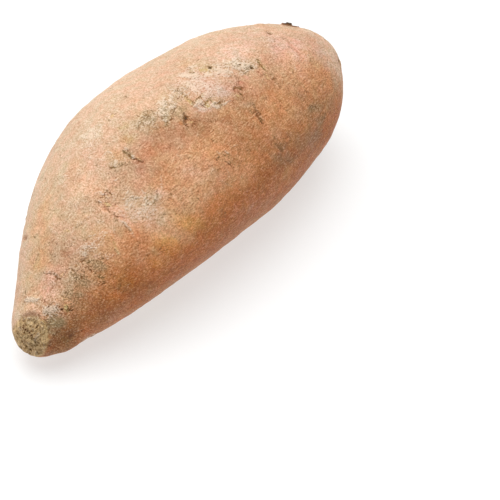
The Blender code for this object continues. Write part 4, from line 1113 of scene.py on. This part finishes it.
# painted shade, with painted warm reflected light, on the skin to the right of the stub
spot(1.4, 168.2, 1.67, 2.83, 39, ragged=0.40, broad=0.30, hard=0.00, shade=0.5, warmth=0.7)
spot(8.2, 172.6, 2.83, 2.65, 36, ragged=0.40, broad=0.30, hard=0.00, shade=0.75, warmth=0.8)
spot(4.2, 175.9, 2.73, 2.93, 36, ragged=0.40, broad=0.30, hard=0.00, shade=0.4, warmth=0.6)

# broad lumps and small waves of a grown skin
body = np.minimum(radius / 14.0, 1.0)
height += 0.40 * body * noise(P / 31.0, 3)
height += 0.24 * body * noise(P / 13.0, 11)
height += 0.17 * body * noise(P / 5.5, 19)
height += 0.09 * noise(P / 2.4, 23)

# fine creases that run round the root, closest near its two ends
ends = step(60, 8, along) * 0.9 + step(120, 158, along) * 0.7 + 0.3
wrap = np.stack(
    (along / 1.9 + 0.8 * noise(P / 9.0, 31), np.cos(ang) * radius / 14 + 0 * along,
     np.sin(ang) * radius / 14 + 0 * along), 2)
crease = np.clip(noise(wrap, 37) - 0.12, 0, 1) * np.clip(0.6 + noise(P / 15.0, 39), 0, 1)
height += -0.16 * ends * crease

# roughened skin where it is rubbed or dirty
rough = np.clip(layers["pale"] * 0.7 + layers["grey"] + layers["dark"] * 0.5, 0, 1)
height += 0.10 * rough * noise(P / 1.5, 43)

point = P + N * height[..., None]
point = point + SHIFT
point[..., 2] = np.maximum(point[..., 2], 0.0)

# --- colour of each place (linear) -------------------------------------------
# the colour round the root; its darker, more orange lower side (about 140 to 190 degrees) is partly browner skin,
# partly painted shade and painted warm reflected light
BASE = (
    # angle round, colour
    (-150.0, (0.50, 0.255, 0.135)),
    (-90.0, (0.50, 0.26, 0.14)),
    (-40.0, (0.57, 0.34, 0.20)),
    (10.0, (0.62, 0.425, 0.29)),
    (35.0, (0.64, 0.460, 0.330)),
    (65.0, (0.60, 0.425, 0.300)),
    (95.0, (0.585, 0.385, 0.258)),
    (110.0, (0.585, 0.348, 0.215)),
    (125.0, (0.60, 0.335, 0.185)),
    (140.0, (0.61, 0.300, 0.145)),
    (155.0, (0.60, 0.250, 0.095)),
    (170.0, (0.50, 0.165, 0.048)),
    (188.0, (0.45, 0.155, 0.052)),
    (218.0, (0.50, 0.240, 0.120)),
)
turn = (deg + 150.0) % 360.0 - 150.0
turn = turn + 9.0 * noise(P / 26.0, 51)
colour = np.stack(
    [np.interp(turn, [b[0] for b in BASE], [b[1][k] for b in BASE]) for k in range(3)], 2
)
TINTS = {
    "umber": (0.40, 0.195, 0.092),
    "bark": (0.30, 0.140, 0.058),
    "rust": (0.47, 0.170, 0.055),
    "tan": (0.74, 0.430, 0.245),
    "peach": (0.71, 0.485, 0.335),
    "pink": (0.68, 0.400, 0.300),
    "orange": (0.60, 0.260, 0.105),
    "red": (0.52, 0.210, 0.120),
    "yellow": (0.62, 0.440, 0.200),
    "olive": (0.34, 0.220, 0.115),
    "grey": (0.47, 0.360, 0.220),
    "pale": (0.74, 0.560, 0.405),
    "cork": (0.60, 0.392, 0.165),
    "dark": (0.220, 0.100, 0.028),
    "bloom": (0.38, 0.380, 0.270),
}
# soft drifts of tone that every root has
drift = noise(P / 17.0, 61)
colour = colour * (1 + 0.07 * np.stack((0.6 * drift, drift, 1.3 * drift), 2))
blotch = fractal(P / 8.0, 63, 3)
layers["pink"] += 0.55 * np.clip(blotch - 0.12, 0, 1)
layers["yellow"] += 0.5 * np.clip(-blotch - 0.15, 0, 1)
layers["pale"] += 0.55 * np.clip(fractal(P / 6.0, 65, 3) - 0.22, 0, 1)
layers["orange"] += 0.5 * np.clip(fractal(P / 10.0, 67, 2) - 0.2, 0, 1)
SHARE = {"pale": 0.35, "grey": 0.4, "dark": 0.25, "cork": 0.85, "bloom": 0.5}
for name, tint in TINTS.items():
    a = SHARE.get(name, 1.0) * np.clip(layers[name], 0, 1)[..., None]
    colour = colour * (1 - a) + np.array(tint) * a
shade = np.clip(layers["shade"], 0, 1)[..., None]
colour = colour * (1 - shade * np.array((0.48, 0.53, 0.58)))
lift = np.clip(layers["lift"], -1.6, 1.8)[..., None]
warmth = np.clip(layers["warmth"], -1.2, 1.4)[..., None]
colour = colour * (1 + 0.10 * lift) * (1 + warmth * np.array((0.04, -0.05, -0.26)))
grey_of = colour @ np.array((0.3, 0.6, 0.1))
colour = grey_of[..., None] + 1.07 * (colour - grey_of[..., None])
colour = np.clip(colour * 0.985, 0.01, 0.95)

# ---------------------------------------------------------------------------
# The mesh
# ---------------------------------------------------------------------------
R = RINGS - 1
tail = np.array((SECTIONS[0, 0], SECTIONS[0, 3], SECTIONS[0, 4])) + SHIFT
crown = np.array((SECTIONS[-1, 0], SECTIONS[-1, 3], SECTIONS[-1, 4])) + SHIFT
verts = np.concatenate((point.reshape(-1, 3), tail[None], crown[None])) * MM
i = np.arange(R - 1)[:, None]
k = np.arange(SIDES)[None, :]
n = (k + 1) % SIDES
quads = np.stack((i * SIDES + k, (i + 1) * SIDES + k, (i + 1) * SIDES + n, i * SIDES + n), 2).reshape(-1, 4)
t_id, c_id = R * SIDES, R * SIDES + 1
k1 = np.arange(SIDES)
n1 = (k1 + 1) % SIDES
tail_tris = np.stack((np.full(SIDES, t_id), k1, n1), 1)
crown_tris = np.stack(((R - 1) * SIDES + k1, np.full(SIDES, c_id), (R - 1) * SIDES + n1), 1)
faces = [tuple(f) for f in quads.tolist()] + [tuple(f) for f in tail_tris.tolist()] + [tuple(f) for f in crown_tris.tolist()]
mesh = bpy.data.meshes.new("sweet_potato_skin")
mesh.from_pydata([tuple(v) for v in verts.tolist()], [], faces)
mesh.validate()
mesh.update()
if mesh.polygons[len(mesh.polygons) // 2].normal.dot(
    mesh.polygons[len(mesh.polygons) // 2].center - Vector((0, 0, 0.03))
) < 0:
    mesh.flip_normals()
mesh.shade_smooth()
piece = bpy.data.objects.new("sweet_potato_skin", mesh)
bpy.context.scene.collection.objects.link(piece)



def attribute(name, values, ends):
    """A number at each point of the mesh, with the tail's and the crown's own."""
    data = mesh.attributes.new(name, "FLOAT", "POINT")
    flat = np.concatenate((values.reshape(-1), ends)).astype(np.float32)
    data.data.foreach_set("value", flat)


def colour_attribute(name, values):
    data = mesh.attributes.new(name, "FLOAT_COLOR", "POINT")
    flat = np.ones((R * SIDES + 2, 4), np.float32)
    flat[: R * SIDES, :3] = values.reshape(-1, 3)
    flat[R * SIDES, :3] = values[0].mean(0)
    flat[R * SIDES + 1, :3] = values[-1].mean(0)
    data.data.foreach_set("color", flat.reshape(-1))


colour_attribute("tone", colour)
attribute("rough_skin", rough, (1.0, 0.2))
attribute("cork", np.clip(layers["cork"], 0, 1), (1.0, 0.0))
attribute("scuff", np.clip(layers["pale"], 0, 1.2), (0.0, 0.0))
attribute("dirt", np.clip(layers["grey"], 0, 1.2), (0.3, 0.0))
attribute("mark", np.clip(layers["dark"], 0, 1.4), (0.3, 0.0))
worn = np.interp(turn, [40, 80, 105, 150, 200, 240], [0.0, 0.3, 0.75, 1.0, 1.0, 0.6])
worn = worn + 0.8 * (1 - step(8, 34, along)) * np.exp(-(around(deg, 112.0) / 50.0) ** 2)
worn = worn + 0.35 * np.exp(-(((along - 132) / 16) ** 2) - (around(deg, 118.0) / 30.0) ** 2)
worn = worn - 0.25 * np.exp(-(((along - 40) / 14) ** 2) - (around(deg, 140.0) / 25.0) ** 2)
attribute("worn", np.clip(worn + 0.25 * noise(P / 12.0, 57), 0, 1.9), (1.0, 0.5))
stretched_skin = np.interp(turn, [60, 105, 140, 200, 240], [0.10, 0.25, 1, 1, 0.4])
stretched_skin = stretched_skin + 0.6 * (1 - step(14, 40, along)) * np.exp(-(around(deg, 140.0) / 50.0) ** 2)
attribute("streak", np.clip(stretched_skin, 0, 1), (0.0, 0.0))

# ---------------------------------------------------------------------------
# Material
# ---------------------------------------------------------------------------
mat = bpy.data.materials.new("sweet_potato_skin")
mat.use_nodes = True
nt = mat.node_tree
bsdf = nt.nodes["Principled BSDF"]


def node(kind, **values):
    made = nt.nodes.new(kind)
    for name, value in values.items():
        setattr(made, name, value)
    return made


def link(a, b):
    nt.links.new(a, b)


def value_in(socket, item):
    if isinstance(item, (int, float, tuple)):
        socket.default_value = item
    else:
        link(item, socket)


def math_node(operation, a, b=0.0, clamp=False):
    made = node("ShaderNodeMath", operation=operation, use_clamp=clamp)
    value_in(made.inputs[0], a)
    value_in(made.inputs[1], b)
    return made.outputs[0]


def times(a, b):
    return math_node("MULTIPLY", a, b)


def plus(a, b):
    return math_node("ADD", a, b)


def remap(item, low, high, to_low=0.0, to_high=1.0, smooth=False):
    made = node("ShaderNodeMapRange", interpolation_type="SMOOTHSTEP" if smooth else "LINEAR")
    value_in(made.inputs["Value"], item)
    for name, value in (("From Min", low), ("From Max", high), ("To Min", to_low), ("To Max", to_high)):
        value_in(made.inputs[name], value)
    return made.outputs[0]


def mix(kind, factor, a, b):
    made = node("ShaderNodeMix", data_type="RGBA", blend_type=kind)
    value_in(made.inputs[0], factor)
    value_in(made.inputs[6], a)
    value_in(made.inputs[7], b)
    return made.outputs[2]


def vector_math(operation, a, b):
    made = node("ShaderNodeVectorMath", operation=operation)
    value_in(made.inputs[0], a)
    if operation == "SCALE":
        value_in(made.inputs["Scale"], b)
    else:
        value_in(made.inputs[1], b)
    return made.outputs[0]


coord = node("ShaderNodeTexCoord").outputs["Object"]


def stretched(x, y, z, vector=None):
    made = node("ShaderNodeMapping")
    link(vector if vector is not None else coord, made.inputs["Vector"])
    made.inputs["Scale"].default_value = (x, y, z)
    return made.outputs["Vector"]


def grain(scale, detail=2.0, rough=0.5, vector=None, distortion=0.0, output="Fac"):
    made = node("ShaderNodeTexNoise")
    link(vector if vector is not None else coord, made.inputs["Vector"])
    made.inputs["Scale"].default_value = scale
    made.inputs["Detail"].default_value = detail
    made.inputs["Roughness"].default_value = rough
    made.inputs["Distortion"].default_value = distortion
    return made.outputs[output]


def read(name, kind="Fac"):
    return node("ShaderNodeAttribute", attribute_name=name).outputs[kind]


tone = read("tone", "Color")
rough_skin = read("rough_skin")
cork_skin = read("cork")
scuff = read("scuff")
dirt = read("dirt")
mark = read("mark")
streak = read("streak")
worn = read("worn")

# the grain of the skin: short wrinkles that run this way and that, and along
# the root where it has stretched most
swirl = vector_math("SUBTRACT", grain(75.0, 1.0, 0.5, output="Color"), (0.5, 0.5, 0.5))
bent = vector_math("ADD", coord, vector_math("SCALE", swirl, 0.0035))
slight = vector_math("ADD", coord, vector_math("SCALE", swirl, 0.0014))
crumbs = grain(1750.0, 2.0, 0.65)
wrinkles = grain(1.0, 2.0, 0.6, vector=stretched(560.0, 1900.0, 1900.0, slight))
cross = grain(1.0, 2.0, 0.6, vector=stretched(1900.0, 1350.0, 1800.0, bent))
mid = grain(420.0, 3.0, 0.6, distortion=0.3)
wide = grain(150.0, 3.0, 0.55)
hue = grain(260.0, 2.0, 0.6, vector=bent)

along_grain = remap(wrinkles, 0.36, 0.64)
cross_grain = remap(cross, 0.36, 0.64)
blend = node("ShaderNodeMix", data_type="FLOAT")
link(streak, blend.inputs[0])
link(cross_grain, blend.inputs[2])
link(along_grain, blend.inputs[3])
wrinkle = blend.outputs[0]
fine = plus(times(remap(crumbs, 0.34, 0.66), 0.60), times(wrinkle, 0.40))

fine = plus(times(math_node("SUBTRACT", fine, 0.5), remap(worn, 0.0, 2.0, 0.85, 1.85)), 0.5)

# gaps between the wrinkles are darker and redder, their tops paler: partly the skin's own colour, partly painted shade
# in the gaps and painted light on the tops
flecks = mix("MIX", fine, (0.70, 0.57, 0.42, 1), (1.30, 1.42, 1.55, 1))
skin_colour = mix("MULTIPLY", 1.0, tone, flecks)
blotches = mix("MIX", remap(mid, 0.34, 0.66), (0.93, 0.90, 0.86, 1), (1.07, 1.10, 1.14, 1))
skin_colour = mix("MULTIPLY", 1.0, skin_colour, blotches)
warm = mix("MIX", remap(hue, 0.38, 0.62), (1.05, 0.96, 0.92, 1), (0.98, 1.02, 0.99, 1))
skin_colour = mix("MULTIPLY", 1.0, skin_colour, warm)

# the tips of the grain are pale whatever the colour under them: partly dry skin, partly painted highlight
tips = remap(fine, 0.62, 1.00, smooth=True)
skin_colour = mix("MIX", times(tips, 0.22), skin_colour, (0.84, 0.64, 0.47, 1))

# pale dry flakes of rubbed skin
flake_noise = plus(times(fine, 0.6), times(remap(mid, 0.3, 0.7), 0.4))
flakes = remap(plus(times(scuff, 0.7), flake_noise), 0.72, 1.22, smooth=True)
flakes = times(flakes, remap(scuff, 0.02, 0.3))
skin_colour = mix("MIX", times(flakes, 0.60), skin_colour, (0.84, 0.68, 0.53, 1))

# dried earth held in the gaps
dirt_noise = plus(times(remap(fine, 0.2, 0.8, 1.0, 0.0), 0.5), times(remap(mid, 0.3, 0.7, 1.0, 0.0), 0.5))
earth = remap(plus(times(dirt, 0.7), dirt_noise), 0.80, 1.25, smooth=True)
earth = times(earth, remap(dirt, 0.02, 0.3))
skin_colour = mix("MIX", times(earth, 0.6), skin_colour, (0.29, 0.190, 0.085, 1))

# cracks, pits and scars, ragged at their edges
torn = plus(times(mark, 0.9), remap(fine, 0.1, 0.9, 0.62, -0.12))
cracks = remap(torn, 0.46, 1.12, smooth=True)
cracks = times(cracks, remap(mark, 0.03, 0.2))
crack_tone = mix("MIX", remap(hue, 0.42, 0.58), (0.270, 0.095, 0.024, 1), (0.270, 0.150, 0.040, 1))
skin_colour = mix("MIX", times(cracks, 0.85), skin_colour, crack_tone)

# the deepest pits are nearly black inside: their dark colour deepened with painted shade
skin_colour = mix("MIX", times(remap(mark, 0.95, 1.4, smooth=True), 0.85), skin_colour, (0.060, 0.030, 0.012, 1))

# cork: flecked with pale dry fibres and dark gaps, the gaps partly painted shade
crumb = grain(900.0, 3.0, 0.7)
cork_tone = mix("MIX", remap(crumb, 0.38, 0.62), (0.14, 0.066, 0.018, 1), (0.84, 0.605, 0.335, 1))
skin_colour = mix("MIX", times(times(cork_skin, math_node("SUBTRACT", 1.0, cracks)), 0.60), skin_colour, cork_tone)
link(skin_colour, bsdf.inputs["Base Color"])

# dry matt skin, duller where it is rubbed or dirty
sheen = remap(mid, 0.3, 0.7, 0.54, 0.66)
link(math_node("ADD", sheen, times(rough_skin, 0.15), clamp=True), bsdf.inputs["Roughness"])
bsdf.inputs["Specular IOR Level"].default_value = 0.35

# fine relief
relief = plus(times(fine, 0.9), times(mid, 0.8))
relief = math_node("SUBTRACT", relief, times(cracks, 0.9))
relief = plus(relief, times(flakes, 0.35))
relief = plus(relief, times(times(crumb, cork_skin), 1.4))
relief = plus(relief, times(times(fine, rough_skin), 0.6))
bump = node("ShaderNodeBump")
bump.inputs["Strength"].default_value = 0.8
bump.inputs["Distance"].default_value = 0.00025
link(relief, bump.inputs["Height"])
link(bump.outputs["Normal"], bsdf.inputs["Normal"])
mesh.materials.append(mat)

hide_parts("sweet_potato")
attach(piece, "root")

# ---------------------------------------------------------------------------
# Floor, light and camera
# ---------------------------------------------------------------------------
floor_mesh = bpy.data.meshes.new("floor")
floor_mesh.from_pydata([(-4, -4, 0), (4, -4, 0), (4, 4, 0), (-4, 4, 0)], [], [(0, 1, 2, 3)])
floor = bpy.data.objects.new("floor", floor_mesh)
bpy.context.scene.collection.objects.link(floor)
floor_mat = bpy.data.materials.new("floor")
floor_mat.use_nodes = True
floor_look = floor_mat.node_tree.nodes["Principled BSDF"].inputs
floor_look["Base Color"].default_value = (0.38, 0.385, 0.385, 1)
floor_look["Roughness"].default_value = 0.6
floor_look["Emission Color"].default_value = (1, 1, 1, 1)
# the floor glows, more strongly away from the root: painted light that keeps it white and its shadows faint
floor_tree = floor_mat.node_tree
floor_at = floor_tree.nodes.new("ShaderNodeTexCoord")
floor_far = floor_tree.nodes.new("ShaderNodeVectorMath")
floor_far.operation = "LENGTH"
floor_glow = floor_tree.nodes.new("ShaderNodeMapRange")
floor_glow.interpolation_type = "SMOOTHSTEP"
for name, value in (("From Min", 0.35), ("From Max", 1.6), ("To Min", 0.60), ("To Max", 1.05)):
    floor_glow.inputs[name].default_value = value
floor_tree.links.new(floor_at.outputs["Object"], floor_far.inputs[0])
floor_tree.links.new(floor_far.outputs["Value"], floor_glow.inputs["Value"])
floor_tree.links.new(floor_glow.outputs["Result"], floor_look["Emission Strength"])
floor_mesh.materials.append(floor_mat)

world = bpy.data.worlds.new("world")
bpy.context.scene.world = world
world.use_nodes = True
world.node_tree.nodes["Background"].inputs["Color"].default_value = (1, 1, 1, 1)
world.node_tree.nodes["Background"].inputs["Strength"].default_value = 0.2
# a white studio behind, which adds no light of its own
wide_sky = world.node_tree.nodes.new("ShaderNodeBackground")
wide_sky.inputs["Color"].default_value = (1, 1, 1, 1)
wide_sky.inputs["Strength"].default_value = 1.0
seen = world.node_tree.nodes.new("ShaderNodeLightPath")
either = world.node_tree.nodes.new("ShaderNodeMixShader")
world.node_tree.links.new(seen.outputs["Is Camera Ray"], either.inputs[0])
world.node_tree.links.new(world.node_tree.nodes["Background"].outputs[0], either.inputs[1])
world.node_tree.links.new(wide_sky.outputs[0], either.inputs[2])
world.node_tree.links.new(either.outputs[0], world.node_tree.nodes["World Output"].inputs["Surface"])
bpy.context.scene.view_settings.view_transform = "Standard"

VIEW_AZ, VIEW_EL, DIST = math.radians(-52.23), math.radians(46.07), 0.72
AIM = np.array((0.00928, -0.02888, 0.0))
look = np.array((-math.sin(VIEW_AZ) * math.cos(VIEW_EL), math.cos(VIEW_AZ) * math.cos(VIEW_EL), -math.sin(VIEW_EL)))
right = np.array((math.cos(VIEW_AZ), math.sin(VIEW_AZ), 0.0))
up = np.cross(right, look)


def facing(obj, place, toward):
    """Puts obj at place, looking along its -Z at a point."""
    obj.location = place
    obj.rotation_euler = (Vector(toward) - Vector(place)).to_track_quat("-Z", "Y").to_euler()


cam_data = bpy.data.cameras.new("camera")
cam_data.sensor_width = 36.0
cam_data.lens = 140.6
cam_data.clip_start = 0.01
cam = bpy.data.objects.new("camera", cam_data)
bpy.context.scene.collection.objects.link(cam)
facing(cam, tuple(AIM - look * DIST), tuple(AIM))
bpy.context.scene.camera = cam


def area(name, place, toward, size, power):
    data = bpy.data.lights.new(name, "AREA")
    data.shape = "DISK"
    data.size = size
    data.energy = power
    obj = bpy.data.objects.new(name, data)
    bpy.context.scene.collection.objects.link(obj)
    facing(obj, tuple(place), tuple(toward))
    return obj


middle = np.array((0.0, 0.0, 0.03))
flat_look = np.array((-math.sin(VIEW_AZ), math.cos(VIEW_AZ), 0.0))
overhead = np.array((0.0, 0.0, 1.0))
for name, side, back, high, power in (
    ("top_softbox", 0.0, 0.0, 1.0, 9.6),
    ("back_softbox", 0.0, 0.6, 0.8, 2.4),
    ("back_left_softbox", -0.55, 0.35, 0.75, 2.4),
    ("left_softbox", -0.8, 0.0, 0.6, 1.6),
):
    area(name, middle + side * right + back * flat_look + high * overhead, middle, 1.0, power)
